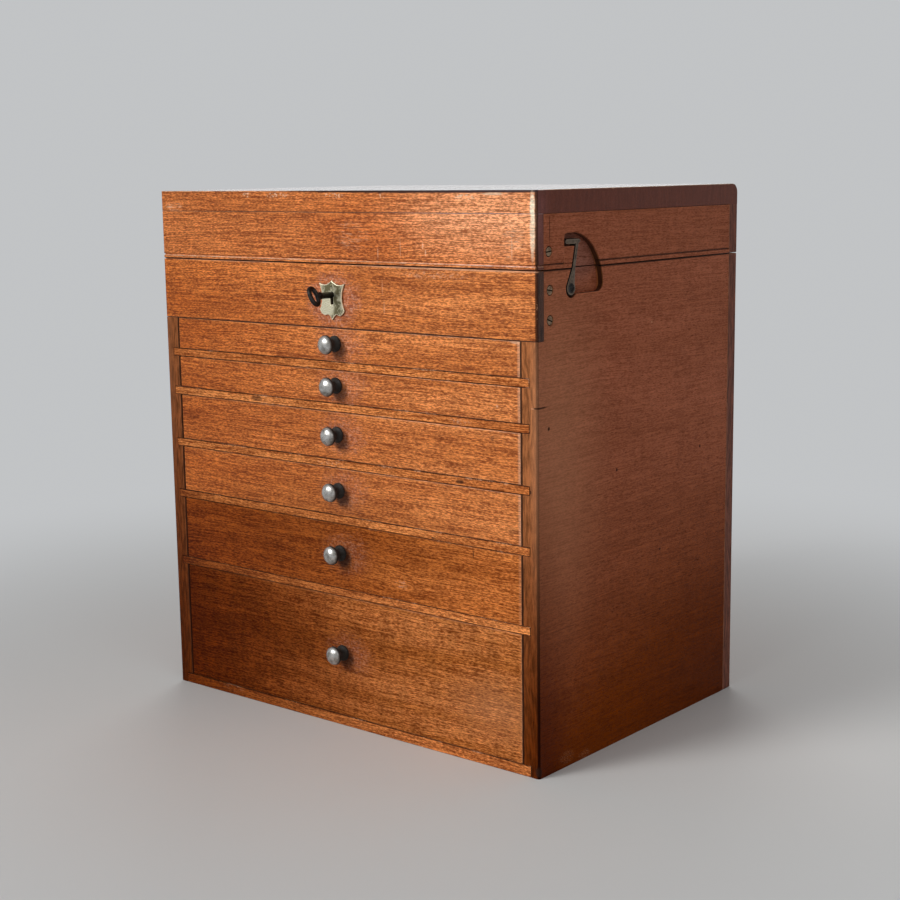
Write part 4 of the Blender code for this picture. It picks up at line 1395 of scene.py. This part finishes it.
@dataclass
class Carcass:
    """The fixed boards and the screws of the lock panel."""

    body: str = "carcass"
    screw_face: float = HALF - 0.0003
    screw_setback: float = FRONT + 0.0155
    screw_levels: tuple[float, float] = (0.3594, 0.338)
    slot_turns: tuple[float, float] = (1.75, 1.9)

    def boards(self) -> list[Board]:
        """The boards with their finishes and marks.

        Returns:
            The boards.
        """
        panel_marks = (
            RED_LEFT,
            Mark(HALO, (0.0, FRONT, 0.346), (0.034, 0.02, 0.027), 0.9),
            # Painted shade down the keyhole, under the plate.
            Mark(STAIN, (0.0, FRONT, 0.346), (0.009, 0.03, 0.009), core=0.9, ragged=0.0),
            # Pale top edge: wear and a painted highlight.
            Mark(BARE, (0.12, FRONT, 0.3732), (0.13, 0.004, 0.0013), 0.8, 0.5, 0.5),
            Mark(BARE, (-0.12, FRONT, 0.3734), (0.09, 0.004, 0.001), 0.6, 0.3, 0.9),
            # Painted shade along the gap above the top drawer.
            Mark(STAIN, (0.0, FRONT, 0.324), (0.3, 0.004, 0.0009), 1.0, 0.7, 0.2),
            Mark(CHIPS, (0.105, FRONT, 0.368), (0.045, 0.004, 0.004), 0.5),
            Mark(BARE, (0.0518, FRONT, 0.357), (0.0006, 0.004, 0.009), 0.5, 0.2, 0.5),
            Mark(BARE, (0.0533, FRONT, 0.3415), (0.0006, 0.004, 0.0075), 0.8, 0.2, 0.5),
        )
        scuff = Mark(SCUFF, (-0.13, FRONT, 0.006), (0.014, 0.01, 0.004))
        boards = [
            Board(
                "lock_panel",
                POLISHED_FRONT,
                marks=panel_marks,
                arris=0.0006,
                covered=(Face.BACK,),
                rounds_corners=True,
            ),
            Board("base_board", RAIL, marks=(SHADED_CORNER, SHADED_END, scuff)),
            Board("well_floor", DRAWER_LINING, Grain.DEEP),
            Board("back_board", BACK, arris=0.0006),
        ]
        rail_marks = {
            "shelf_1": (),
            "shelf_2": [
                Mark(STAIN, (-0.09, FRONT, 0.2615), (0.009, 0.008, 0.0026), 0.7),
                Mark(CHIPS, (0.1253, FRONT, 0.2616), (0.012, 0.008, 0.003), 0.6),
                Mark(STAIN, (0.1494, FRONT, 0.2645), (0.004, 0.008, 0.0012), 0.6),
            ],
            "shelf_3": [
                Mark(STAIN, (0.1255, FRONT, 0.2158), (0.006, 0.008, 0.002), 0.9),
                Mark(CHIPS, (-0.008, FRONT, 0.216), (0.022, 0.008, 0.003), 0.6),
            ],
            "shelf_4": [
                SHADED_CORNER,
                SHADED_END,
                Mark(STAIN, (0.0986, FRONT, 0.1694), (0.003, 0.008, 0.001), 0.8),
            ],
            "shelf_5": [SHADED_CORNER, SHADED_END],
        }
        for name, marks in rail_marks.items():
            boards.append(Board(name, RAIL, marks=marks))
        for side in Side:
            marks = self.side_marks(side)
            boards.append(Board(f"side_{side.label}", POLISHED_SIDE, Grain.DEEP, marks, rounds_corners=True))
        return boards

    def side_marks(self, side: Side) -> list[Mark]:
        """A side's recess, painted shade low down, a painted reflection on its front, painted shade along the
        gaps and the seam under the lid, and the right one's holes, split and scratches.

        Args:
            side: side of the cabinet.

        Returns:
            The marks.
        """
        outer = side.value * HALF
        marks = [
            *recess_marks(side),
            # Painted shade, darker towards the foot.
            Mark(AGED, (outer, 0.1, -0.08), (0.1, 0.6, 0.36), 1.15, 0.25, 0.12, (0.5, 0.3, 0.0)),
            # Painted shade, darker low down towards the back.
            Mark(AGED, (outer, 0.16, 0.0), (0.1, 0.22, 0.2), 0.5, 0.0, 0.12),
            # Painted shade in the gap beside the drawers.
            Mark(STAIN, (side.value * 0.1826, FRONT, 0.17), (0.0017, 0.004, 0.3), 1.0, 0.6, 0.2),
            # Painted reflection, paler near the front.
            Mark(BARE, (outer, -0.12, 0.24), (0.01, 0.09, 0.2), 0.45, 0.0, 0.12),
            # Painted shade along the gap under the lid.
            Mark(STAIN, (outer, 0.0, 0.3736), (0.004, 0.3, 0.0012), 1.0, 0.6, 0.1),
        ]
        if side is Side.LEFT:
            # Painted shade on the left front edge, where the light falls off.
            return [*marks, Mark(AGED, (-HALF, FRONT, 0.1), (0.03, 0.05, 0.36), 0.7, 0.2, 0.12)]
        # Darker towards the foot down the right front edge.
        marks.append(Mark(AGED, (HALF, FRONT, -0.02), (0.03, 0.05, 0.3), 0.7, 0.1, 0.12))
        dots = (
            (-0.1247, 0.2605, 0.0018),
            (-0.0375, 0.2174, 0.0014),
            (0.0836, 0.2189, 0.0014),
            (0.0242, 0.1439, 0.0014),
        )
        marks += [Mark(STAIN, (HALF, back, up), (size, size, size)) for back, up, size in dots]
        return marks + [
            Mark(BARE, (HALF, 0.0101, 0.3264), (0.0012, 0.0012, 0.0012)),
            Mark(STAIN, (HALF - 0.001, FRONT + 0.003, 0.2765), (0.005, 0.011, 0.0009)),
            Mark(BARE, (HALF - 0.0045, FRONT, 0.2762), (0.002, 0.002, 0.0008)),
            Mark(STAIN, (0.1904, FRONT, 0.2153), (0.0016, 0.002, 0.002)),
            Mark(STAIN, (HALF, FRONT, 0.005), (0.005, 0.005, 0.005)),
            Mark(SCUFF, (HALF, -0.1034, 0.0076), (0.004, 0.012, 0.006)),
            Mark(SCUFF, (HALF, -0.0798, 0.0035), (0.004, 0.01, 0.004)),
        ]

    def build(self) -> None:
        """Make the boards and the screws."""
        for board in self.boards():
            board.make(self.body)
        for side in Side:
            for number, (level, turn) in enumerate(zip(self.screw_levels, self.slot_turns), 1):
                place = (side.value * self.screw_face, self.screw_setback, level)
                screw = SlottedScrew(place, (side.value, 0, 0), slot_turn=turn)
                name = f"panel_screw_{side.label}_{number}"
                shape, piece = screw.shape(), f"{name}_slotted"
                place_piece(piece, shape, self.body, SCREW_BRASS, (name,), SCREW_ANGLE)


@dataclass
class Lid:
    """The lid's boards, its side screws and the keeper steps under the hooks' beaks."""

    body: str = "lid"
    bottom: float = 0.374
    seam: float = 0.4135
    top: float = 0.43
    groove: tuple[float, float] = (0.3768, 0.3777)
    groove_depth: float = 0.0009
    screw_place: tuple[float, float] = (-0.1237, 0.3867)
    screw_sunk: float = 0.0002
    slot_turn: float = 1.5
    keeper_front: float = -0.1053
    keeper_foot: float = -0.0964
    keeper_lean: float = 0.0037
    keeper_top: float = 0.3894
    keeper_inner: float = 0.1921

    def build(self) -> None:
        """Make the boards, the screws and the keeper steps."""
        for board in self.boards():
            board.make(self.body)
        for side in Side:
            place = (side.value * (HALF - self.screw_sunk), *self.screw_place)
            screw = SlottedScrew(place, (side.value, 0, 0), slot_turn=self.slot_turn)
            name = f"lid_screw_{side.label}"
            place_piece(name, screw.shape(), self.body, SCREW_BRASS, (), SCREW_ANGLE)
            self.build_keeper(side)

    def boards(self) -> list[Board]:
        """The boards with their finishes and marks.

        Returns:
            The boards.
        """
        shared = [
            Mark(STAIN, (0.0, FRONT, self.seam), (0.3, 0.01, 0.0007), 0.7, 0.5, 0.5),
            # Painted sheen, paler to the right of the lid front.
            Mark(AGED, (0.165, FRONT, 0.41), (0.15, 0.02, 0.045), 1.0, 0.0, 0.3, (1.45, 2.05, 3.7)),
            Mark(AGED, (0.03, FRONT, 0.396), (0.08, 0.02, 0.04), 1.0, 0.1, 0.3, (0.86, 0.76, 0.66)),
            Mark(BARE, (0.1939, FRONT, 0.4), (0.0027, 0.006, 0.026), 0.6, 0.5, 0.8),
            Mark(RAW, (0.1937, FRONT, 0.402), (0.0026, 0.006, 0.024), 0.6, 0.5, 0.8),
            Mark(RAW, (0.1937, FRONT, 0.419), (0.0026, 0.006, 0.014), 1.0, 0.5, 0.8),
        ]
        front_marks = [
            *shared,
            # Painted shade in the gap under the lid's lip.
            Mark(STAIN, (0.0, FRONT, self.bottom - 0.0005), (0.3, 0.003, 0.0006), 1.1, 0.8, 0.0),
            Mark(SCUFF, (0.022, FRONT, 0.396), (0.02, 0.01, 0.014), 0.7),
            Mark(SCUFF, (0.176, FRONT, 0.393), (0.014, 0.01, 0.018), 0.7),
            Mark(BARE, (0.048, FRONT, 0.383), (0.0006, 0.004, 0.006), 0.6, 0.2, 0.5),
            Mark(BARE, (0.0706, FRONT, 0.388), (0.0005, 0.004, 0.011), 0.5, 0.2, 0.5),
            Mark(BARE, (0.0928, FRONT, 0.3895), (0.0008, 0.004, 0.0035), 0.8, 0.2, 0.5),
            Mark(BARE, (0.0954, FRONT, 0.3842), (0.0008, 0.004, 0.0035), 0.8, 0.2, 0.5),
            Mark(BARE, (0.1755, FRONT, 0.391), (0.0009, 0.004, 0.012), 0.5, 0.2, 0.8),
        ]
        chips = (
            (-0.0926, 0.4268, 0.0065),
            (-0.0595, 0.4265, 0.016),
            (0.003, 0.426, 0.013),
            (0.0535, 0.4258, 0.0045),
            (0.133, 0.4252, 0.0125),
        )
        top_marks = [
            Mark(STAIN, (0.11, FRONT, self.top), (0.2, 0.003, 0.0024), 1.1, 0.65, 0.3),
            *shared,
            Mark(BARE, (0.1587, FRONT, 0.4272), (0.014, 0.004, 0.0012)),
            Mark(SCUFF, (-0.182, FRONT, 0.417), (0.012, 0.01, 0.005)),
        ]
        for across, level, reach in chips:
            top_marks.append(Mark(CHIPS, (across, FRONT, level), (reach, 0.004, 0.0026)))
        boards = [
            LidFront("lid_front", LID, marks=front_marks, covered=(Face.TOP, Face.BACK, Face.FOOT)),
            LidBack("lid_back", BACK, arris=0.0003, covered=(Face.TOP,)),
            LidTop("lid_top", LID_TOP, marks=top_marks, arris=0.0002, covered=(Face.FOOT,)),
        ]
        for side in Side:
            groove = (side.value * HALF, 0.0, self.groove[1])
            # The recess shade, and painted shade in the bead's groove.
            marks = [*recess_marks(side), Mark(STAIN, groove, (0.004, 0.3, 0.0008), 0.8, 0.6, 0.1)]
            if side is Side.RIGHT:
                line = (HALF, FRONT + 0.0152, 0.402)
                marks.append(Mark(STAIN, line, (0.002, 0.0006, 0.0135), 0.8))
            board = LidSide(
                f"lid_{side.label}",
                POLISHED_SIDE,
                Grain.DEEP,
                marks,
                arris=0.00025,
                covered=(Face.TOP, Face.FRONT, Face.FOOT),
                bore=((side.value * HALF, *self.screw_place), (side.value, 0, 0)),
            )
            boards.append(board)
        return boards

    def build_keeper(self, side: Side) -> None:
        """Make the step of lid wood that a hook's beak reaches over, with the lid's bead along it.

        Args:
            side: side of the cabinet.
        """
        low = (self.keeper_inner, self.keeper_front, self.bottom)
        high = (HALF, self.keeper_foot, self.keeper_top)
        shape = rounded_block(low, high, width=0.00025)
        for level in self.groove:
            slice_at(shape, (0, 0, level), (0, 0, 1))

        def in_groove(face: bmesh.types.BMFace) -> bool:
            """Whether a face of the outer side lies between the groove's edges."""
            level = face.calc_center_median().z
            return face.normal.x > SQUARE_ON and self.groove[0] < level < self.groove[1]

        sink(shape, in_groove, (-self.groove_depth, 0, 0))
        middle = (self.keeper_front + self.keeper_foot) / 2
        for vert in shape.verts:
            if vert.co.y > middle:
                vert.co.y += self.keeper_lean * (vert.co.z - self.bottom) / (self.keeper_top - self.bottom)
        if side is Side.LEFT:
            bmesh.ops.scale(shape, verts=shape.verts, vec=(-1, 1, 1))
        bmesh.ops.recalc_face_normals(shape, faces=shape.faces)
        name = f"lid_keeper_{side.label}"
        low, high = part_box(f"lid_{side.label}")
        finish = POLISHED_SIDE.material(f"{name}_wood", low, high, Grain.DEEP, ())
        place_piece(name, shape, self.body, finish)


@dataclass
class Drawer:
    """One drawer: its polished front, its bare box and its turned knob."""

    number: int
    knob_level: float
    wood: Wood
    marks: Sequence[Mark]
    rim_wear: float = 0.55
    foot_grime: float = 0.6
    knob_offset: float = 0.001
    knob_steps: int = 48
    knob_profile: Profile = (
        *((0.0003, 0.0), (0.0003, 0.0064), (0.0013, 0.0064), (0.0017, 0.0062), (0.0019, 0.0058)),
        *((0.0024, 0.0049), (0.0031, 0.0042), (0.0039, 0.0038), (0.0079, 0.0038), (0.0085, 0.0044)),
        *((0.0091, 0.0055), (0.0096, 0.0068), (0.0099, 0.0073), (0.0103, 0.0075), (0.0107, 0.0075)),
        *((0.0115, 0.0074), (0.0124, 0.00705), (0.0133, 0.0063), (0.0141, 0.0052), (0.0147, 0.0039)),
        *((0.0151, 0.0026), (0.01533, 0.0013), (0.0154, 0.0)),
    )

    @property
    def name(self) -> str:
        """The drawer's body."""
        return f"drawer_{self.number}"

    def build(self) -> None:
        """Make the front, the box and the knob."""
        across, up = self.knob_offset, self.knob_level
        marks = (
            RED_LEFT,
            Mark(HALO, (across + 0.006, FRONT, up), (0.034, 0.02, 0.022), 0.7, 0.1),
            # Pale right end: wear and a painted highlight.
            Mark(BARE, (0.1811, FRONT, up), (0.0018, 0.004, 0.1), self.rim_wear, 0.4, 0.5),
            *self.marks,
            # Dark patch below the knob's foot: dirt and a painted shadow.
            Mark(STAIN, (across + 0.003, FRONT, up - 0.003), (0.011, 0.02, 0.011), self.foot_grime, 0.5, 0.2),
        )
        Board(f"{self.name}_front", self.wood, Grain.ACROSS, marks, 0.0006).make(self.name)
        Board(f"{self.name}_frame", DRAWER_LINING, Grain.DEEP, slot=Slot.LINING).make(self.name)
        Board(f"{self.name}_bottom", DRAWER_LINING, slot=Slot.LINING).make(self.name)
        knob = moved_to(turned(self.knob_profile, self.knob_steps), (across, FRONT, up), FORWARD)
        node = f"{self.name}_knob"
        place_piece(f"{node}_turned", knob, self.name, KNOB_STEEL, (node,), round_angle=50)


@dataclass
class Lock:
    """The lock with its keyhole plate, the plate's pins and the key."""

    body: str = "carcass"
    keyhole: Point = (0.0, FRONT, 0.35)
    plate_face: float = -0.1397
    pin_levels: tuple[float, float] = (0.3572, 0.3345)
    pin_radius: float = 0.0011
    plate_round: float = 0.0009
    works_round: float = 0.00015
    shank_radius: float = 0.0021
    stem_radius: float = 0.0026
    shank_end: float = -0.1179
    bow_middle: float = -0.1591
    bow_half_width: float = 0.00865
    bow_half_length: float = 0.00545
    wire_radius: float = 0.0018
    turn: float = math.radians(28.0)
    bit_low: Point = (-0.001, -0.1241, -0.0072)
    bit_high: Point = (0.001, -0.1199, -0.001)

    def build(self) -> None:
        """Make the plate, its pins, the inner works and the key."""
        plate = merged_copy("escutcheon")
        soften(plate, self.plate_round, lambda middle: middle.y < self.plate_face + 0.0001)
        place_piece("escutcheon_plate", plate, self.body, PLATE_BRASS, ("escutcheon",))
        radius = self.pin_radius
        dome = (
            (-0.0004, 0.0),
            (-0.0004, radius),
            (0.0001, radius),
            (0.0004, radius * 0.8),
            (0.0006, radius * 0.45),
            (0.00066, 0.0),
        )
        for name, level in zip(("upper", "lower"), self.pin_levels):
            pin = moved_to(turned(dome, steps=20), (0.0, self.plate_face, level), FORWARD)
            place_piece(f"escutcheon_pin_{name}", pin, self.body, PLATE_BRASS, (), round_angle=60)
        works = (
            ("lock_case", self.body, Slot.BRASS, FITTING_BRASS),
            ("lock_bolt", "lock_bolt", Slot.STEEL, PLAIN_STEEL),
            ("lock_link_plate", "lid", Slot.BRASS, FITTING_BRASS),
        )
        for node, body, slot, finish in works:
            part = merged_copy(node)
            soften(part, self.works_round, segments=2)
            place_piece(f"{node}_part", part, body, finish, (node,))
        place_piece("key_forged", self.key_shape(), "key", KEY_IRON, ("key",), round_angle=40)

    def key_shape(self) -> Shape:
        """Make the key: a turned shank with a collar, a bit and an oval bow of round wire.

        Returns:
            The key as it rests in the lock.
        """
        collar = self.bow_middle + self.bow_half_length - self.wire_radius
        length = self.shank_end - collar
        outside = self.shank_end - self.plate_face + 0.0005
        radius, stem = self.shank_radius, self.stem_radius
        profile = (
            (0.0, 0.0),
            (0.0, radius * 0.85),
            (0.0005, radius),
            (outside, radius),
            (outside + 0.0005, stem),
            (length - 0.0045, stem * 0.95),
            (length - 0.0035, stem * 1.15),
            (length - 0.002, stem * 1.15),
            (length - 0.001, stem * 0.9),
            (length, stem * 0.75),
            (length + 0.0006, 0.0),
        )
        shank = moved_to(turned(profile, steps=28), (0.0, self.shank_end, 0.0), FORWARD)
        bit = rounded_block(self.bit_low, self.bit_high, width=0.0002)
        key = joined((shank, bit, self.bow_shape()))
        rest = Matrix.Translation((0, 0, self.keyhole[2])) @ Matrix.Rotation(-self.turn, 4, "Y")
        bmesh.ops.transform(key, matrix=rest, verts=key.verts)
        return key

    def bow_shape(self, steps: int = 48, sides: int = 14) -> Shape:
        """Bend round wire into the key's oval bow.

        Args:
            steps: sections round the oval.
            sides: faces round the wire.

        Returns:
            The bow, upright in the plane of the shank.
        """
        bow = bmesh.new()
        high = self.bow_half_width - self.wire_radius
        long = self.bow_half_length - self.wire_radius
        loops = []
        for step in range(steps):
            turn = 2 * math.pi * step / steps
            middle = Vector((0.0, self.bow_middle + long * math.sin(turn), high * math.cos(turn)))
            outward = Vector((0.0, high * math.sin(turn), long * math.cos(turn))).normalized()
            loop = []
            for side in range(sides):
                round_turn = 2 * math.pi * side / sides
                reach = outward * math.cos(round_turn) + Vector((math.sin(round_turn), 0.0, 0.0))
                loop.append(bow.verts.new(middle + reach * self.wire_radius))
            loops.append(loop)
        for near, far in zip(loops, loops[1:] + loops[:1]):
            for side in range(sides):
                after = (side + 1) % sides
                bow.faces.new((near[side], near[after], far[after], far[side]))
        bmesh.ops.recalc_face_normals(bow, faces=bow.faces)
        return bow


@dataclass
class Hook:
    """A forged side hook on its dished pivot screw."""

    side: Side
    pivot: Point = (HALF - 0.0004, -0.0962, 0.3593)
    screw_radius: float = 0.0034
    edge_round: float = 0.0011
    front_grime: float = 0.85
    rear_grime: float = 0.4
    eye_share: float = 1.25

    def build(self) -> None:
        """Make the hook and its screw."""
        name = f"hook_{self.side.label}"
        shape = merged_copy(name)
        soften(shape, self.edge_round, self.on_rim, segments=4)
        # The flanks are painted near black: painted shade in the gap round the hook, with some dirt.
        grime = face_layer(shape, "grime")
        shape.normal_update()
        for face in shape.faces:
            edge = self.front_grime if face.normal.y < 0 else self.rear_grime
            face[grime] = float(abs(face.normal.x) < edge)
        place_piece(f"{name}_forged", shape, name, DARK_IRON, (name,), round_angle=50)
        radius = self.screw_radius
        profile = (
            (-0.008, 0.0),
            (-0.008, radius * 0.5),
            (-0.0022, radius * 0.5),
            (-0.0005, radius),
            (-0.0001, radius),
            (-0.0001, radius * 0.88),
            (-0.0008, radius * 0.66),
            (-0.0009, 0.0),
        )
        place = (self.side.value * self.pivot[0], *self.pivot[1:])
        screw = moved_to(turned(profile, steps=28), place, (self.side.value, 0, 0))
        node = f"hook_screw_{self.side.label}"
        place_piece(f"{node}_dished", screw, "carcass", KEY_IRON, (node,), round_angle=40)

    def on_rim(self, middle: Vector) -> bool:
        """Whether an edge lies in the outer face, outside the screw's hole."""
        away = math.hypot(middle.y - self.pivot[1], middle.z - self.pivot[2])
        return abs(middle.x) > self.pivot[0] - 0.0002 and away > self.screw_radius * self.eye_share


@dataclass
class Hinge:
    """A butt hinge between the back board and the lid."""

    label: str
    middle: float
    length: float = 0.04
    axis: tuple[float, float] = (0.1409, 0.3737)
    knuckle_radius: float = 0.0026
    leaf_front: float = 0.1285
    leaf_rear: float = 0.1377
    leaf_thickness: float = 0.0012
    lower_leaf: float = 0.3722
    upper_leaf: float = 0.374
    screw_reach: float = 0.014
    screw_radius: float = 0.0018
    pin_radius: float = 0.001
    bore_radius: float = 0.0011
    play: float = 0.0003
    chamfer: float = 0.0004
    hole_play: float = 0.00005
    tongue_root: float = 0.003
    tongue_end: float = 0.0016
    tongue_sunk: float = 0.0001

    def build(self) -> None:
        """Make the two leaves with their screws, and the pin."""
        half, third = self.length / 2, self.length / 6
        outer = ((-half, -third - self.play), (third + self.play, half))
        self.build_leaf("lower", "carcass", self.lower_leaf, outer)
        self.build_leaf("upper", "lid", self.upper_leaf, ((-third, third),))
        radius, length = self.pin_radius, self.length
        ends = ((0.0, 0.0), (0.0, radius * 0.8), (self.play, radius))
        profile = (*ends, *((length - along, reach) for along, reach in ends[::-1]))
        pin = moved_to(turned(profile, steps=20), (self.middle - half, *self.axis), (1, 0, 0))
        node = f"hinge_{self.label}_pin"
        place_piece(f"{node}_rod", pin, "carcass", PLAIN_STEEL, (node,), round_angle=40)

    def build_leaf(self, level: str, body: str, low: float, knuckles: Sequence[tuple[float, float]]) -> None:
        """Make one leaf: its plate, its knuckles and its screws.

        Args:
            level: lower or upper, as in the node's name.
            body: body that carries it.
            low: underside of the plate.
            knuckles: start and end of each knuckle along X from the hinge's middle.
        """
        half = self.length / 2
        high = low + self.leaf_thickness
        corner = (self.middle - half, self.leaf_front, low)
        face, upward = (high, (0, 0, 1)) if level == "lower" else (low, (0, 0, -1))
        across = (self.leaf_front + self.leaf_rear) / 2
        seats = [(self.middle + step * self.screw_reach, across, face) for step in (-1, 0, 1)]
        hole = self.screw_radius + self.hole_play
        holes = [drill(seat, upward, hole, 2 * self.leaf_thickness) for seat in seats]
        plate = rounded_block(corner, (self.middle + half, self.leaf_rear, high), width=0.0002)
        parts = [carved(plate, holes)]
        for start, end in knuckles:
            root, tip = self.leaf_rear - self.tongue_root, self.axis[0] - self.tongue_end
            tongue_low = (self.middle + start + self.play, root, low + self.tongue_sunk)
            tongue_high = (self.middle + end - self.play, tip, high - self.tongue_sunk)
            parts.append(rounded_block(tongue_low, tongue_high, width=0.0001))
            radius, bore, length = self.knuckle_radius, self.bore_radius, end - start
            profile = (
                (0.0, bore),
                (0.0, radius - self.chamfer),
                (self.play, radius),
                (length - self.play, radius),
                (length, radius - self.chamfer),
                (length, bore),
                (0.0, bore),
            )
            parts.append(moved_to(turned(profile, steps=28), (self.middle + start, *self.axis), (1, 0, 0)))
        node = f"hinge_{self.label}_{level}_leaf"
        place_piece(f"{node}_plate", joined(parts), body, FITTING_BRASS, (node,), round_angle=35)
        for number, seat in enumerate(seats, 1):
            screw = SlottedScrew(
                seat,
                upward,
                self.screw_radius,
                length=0.00115,
                slot_width=0.0005,
                slot_depth=0.0004,
                slot_turn=0.7 * number,
            )
            name = f"{node}_screw_{number}"
            place_piece(name, screw.shape(), body, FITTING_BRASS, (), SCREW_ANGLE)


@dataclass
class Studio:
    """The camera, the pale floor and the soft light."""

    lens: float = 65.16
    eye: Point = (0.8806, -1.0558, 0.4455)
    azimuth: float = math.radians(39.79)
    tilt: float = math.radians(9.81)
    roll: float = math.radians(-0.82)
    cone: float = math.radians(34.0)
    floor_size: float = 24.0
    floor_near: float = 0.2
    floor_far: float = 1.0
    floor_color: Color = (0.76, 0.75, 0.73)
    floor_mottle: float = 0.95
    sky_color: Color = (0.96, 0.98, 1.0)
    sky_light: float = 0.26
    sky_seen: float = 0.56

    def build(self) -> None:
        """Make the camera, the floor, the lamps and the sky."""
        scene = bpy.context.scene
        scene.view_settings.view_transform = "Standard"
        camera = linked("camera", bpy.data.cameras.new("camera"))
        camera.data.lens = self.lens
        camera.data.clip_start = 0.01
        turn = Matrix.Rotation(self.azimuth, 4, "Z") @ Matrix.Rotation(math.pi / 2 - self.tilt, 4, "X")
        camera.matrix_world = Matrix.Translation(self.eye) @ turn @ Matrix.Rotation(self.roll, 4, "Z")
        scene.camera = camera
        self.build_floor()
        cone = {"spot_size": self.cone, "spot_blend": 1.0, "shadow_soft_size": 0.5}
        self.hang("key_lamp", "SPOT", (-0.55, -1.65, 1.25), (0.2, FRONT, 0.35), 145.0, **cone)
        self.hang("front_lamp", "AREA", (-0.2, -2.3, 1.5), (0.0, FRONT, 0.25), 10.0, size=1.4)
        self.hang("side_lamp", "AREA", (1.9, -0.9, 1.3), (HALF, 0.0, 0.25), 4.0, size=1.2)
        self.hang("back_lamp", "AREA", (-1.4, 1.8, 1.5), (0.0, 0.0, 0.2), 14.0, size=1.4)
        self.build_sky()

    def hang(self, name: str, kind: str, place: Point, target: Point, power: float, **sizes: float) -> None:
        """Hang a soft lamp at a place and point it at a target.

        Args:
            name: name of the lamp.
            kind: kind of lamp.
            place: where it stands.
            target: what it points at.
            power: its power in watts.
            **sizes: its size, and its cone if it is a spot.
        """
        lamp = bpy.data.lights.new(name, kind)
        lamp.energy = power
        for label, size in sizes.items():
            setattr(lamp, label, size)
        holder = linked(name, lamp)
        holder.location = place
        holder.rotation_euler = (Vector(target) - Vector(place)).to_track_quat("-Z", "Y").to_euler()

    def build_floor(self) -> None:
        """Lay the pale floor, which fades into the background away from the cabinet."""
        shape = bmesh.new()
        bmesh.ops.create_grid(shape, x_segments=1, y_segments=1, size=self.floor_size / 2)
        mesh = mesh_of("floor", shape)
        finish, graph, shader = new_finish("floor_paint")
        place = graph.node("ShaderNodeTexCoord").outputs["Object"]
        shade = tuple(part * self.floor_mottle for part in self.floor_color)
        mottle = graph.noise(place, 3.0, 4.0, 0.6)
        paint = graph.mix(mottle, self.floor_color, shade)
        graph.dress(shader, {"Base Color": paint, "Roughness": 0.7, "Specular IOR Level": 0.1})
        nodes = finish.node_tree.nodes
        haze = graph.node("ShaderNodeEmission", {"Color": self.sky_color, "Strength": self.sky_seen})
        distance = graph.step(graph.vector("LENGTH", place), self.floor_near, self.floor_far)
        share = graph.times(graph.seen("Is Camera Ray", "Is Glossy Ray"), distance)
        blend = graph.node("ShaderNodeMixShader")
        shaders = (share, nodes["Principled BSDF"].outputs[0], haze.outputs[0])
        graph.feed(nodes["Material Output"].inputs["Surface"], graph.filled(blend, shaders)[0])
        mesh.materials.append(finish)
        linked("floor", mesh)

    def build_sky(self) -> None:
        """Light the scene evenly, and show the camera and the gloss a paler background."""
        world = bpy.data.worlds.new("studio")
        world.use_nodes = True
        bpy.context.scene.world = world
        graph = Graph(world.node_tree)
        seen = graph.seen("Is Camera Ray", "Is Glossy Ray", "Is Transmission Ray")
        background = world.node_tree.nodes["Background"].inputs
        strength = graph.line(seen, self.sky_seen - self.sky_light, self.sky_light)
        graph.dress(background, {"Color": self.sky_color, "Strength": strength})


def drawers() -> list[Drawer]:
    """The six drawers, top first, with the figure of their fronts.

    Returns:
        The drawers.
    """
    chip = Mark(BARE, (0.178, FRONT, 0.3228), (0.007, 0.004, 0.0015))
    dot = Mark(BARE, (0.1612, FRONT, 0.2755), (0.0014, 0.004, 0.0014))
    knot = Mark(STAIN, (0.1564, FRONT, 0.2514), (0.002, 0.004, 0.002), 0.5)
    patch = Mark(STAIN, (0.1757, FRONT, 0.185), (0.006, 0.01, 0.004), 0.35)
    line = Mark(STAIN, (0.1374, FRONT, 0.1623), (0.0008, 0.004, 0.0035), 0.7)
    fleck = Mark(CHIPS, (0.0656, FRONT, 0.1281), (0.008, 0.004, 0.005), 0.7)
    bloom = Mark(BARE, (0.16, FRONT, 0.045), (0.07, 0.02, 0.035), 0.3, 0.0, 0.3)
    return [
        Drawer(1, 0.31175, POLISHED_FRONT, [chip]),
        Drawer(2, 0.27875, POLISHED_FRONT, [SHADED_LEFT, dot]),
        Drawer(3, 0.23975, POLISHED_FRONT, [SHADED_LEFT, knot]),
        Drawer(4, 0.19475, POLISHED_FRONT, [DIM_MIDDLE, patch], foot_grime=0.75),
        Drawer(5, 0.144, BROWN_FRONT, [SHADED_CORNER, SHADED_END, DIM_MIDDLE, line, fleck], 0.3, 0.9),
        Drawer(6, 0.0615, DARK_FRONT, [SHADED_CORNER, SHADED_END, SHADED_FOOT, bloom], 0.15, 0.8),
    ]


def main() -> None:
    """Build the cabinet and the studio in order."""
    logging.basicConfig(level=logging.INFO, format="%(name)s: %(message)s")
    Studio().build()
    parts = [Carcass(), Lid(), *drawers(), Lock(), *(Hook(side) for side in Side)]
    parts += [Hinge("left", -0.12), Hinge("right", 0.12)]
    for part in parts:
        part.build()


if __name__ == "__main__":
    main()
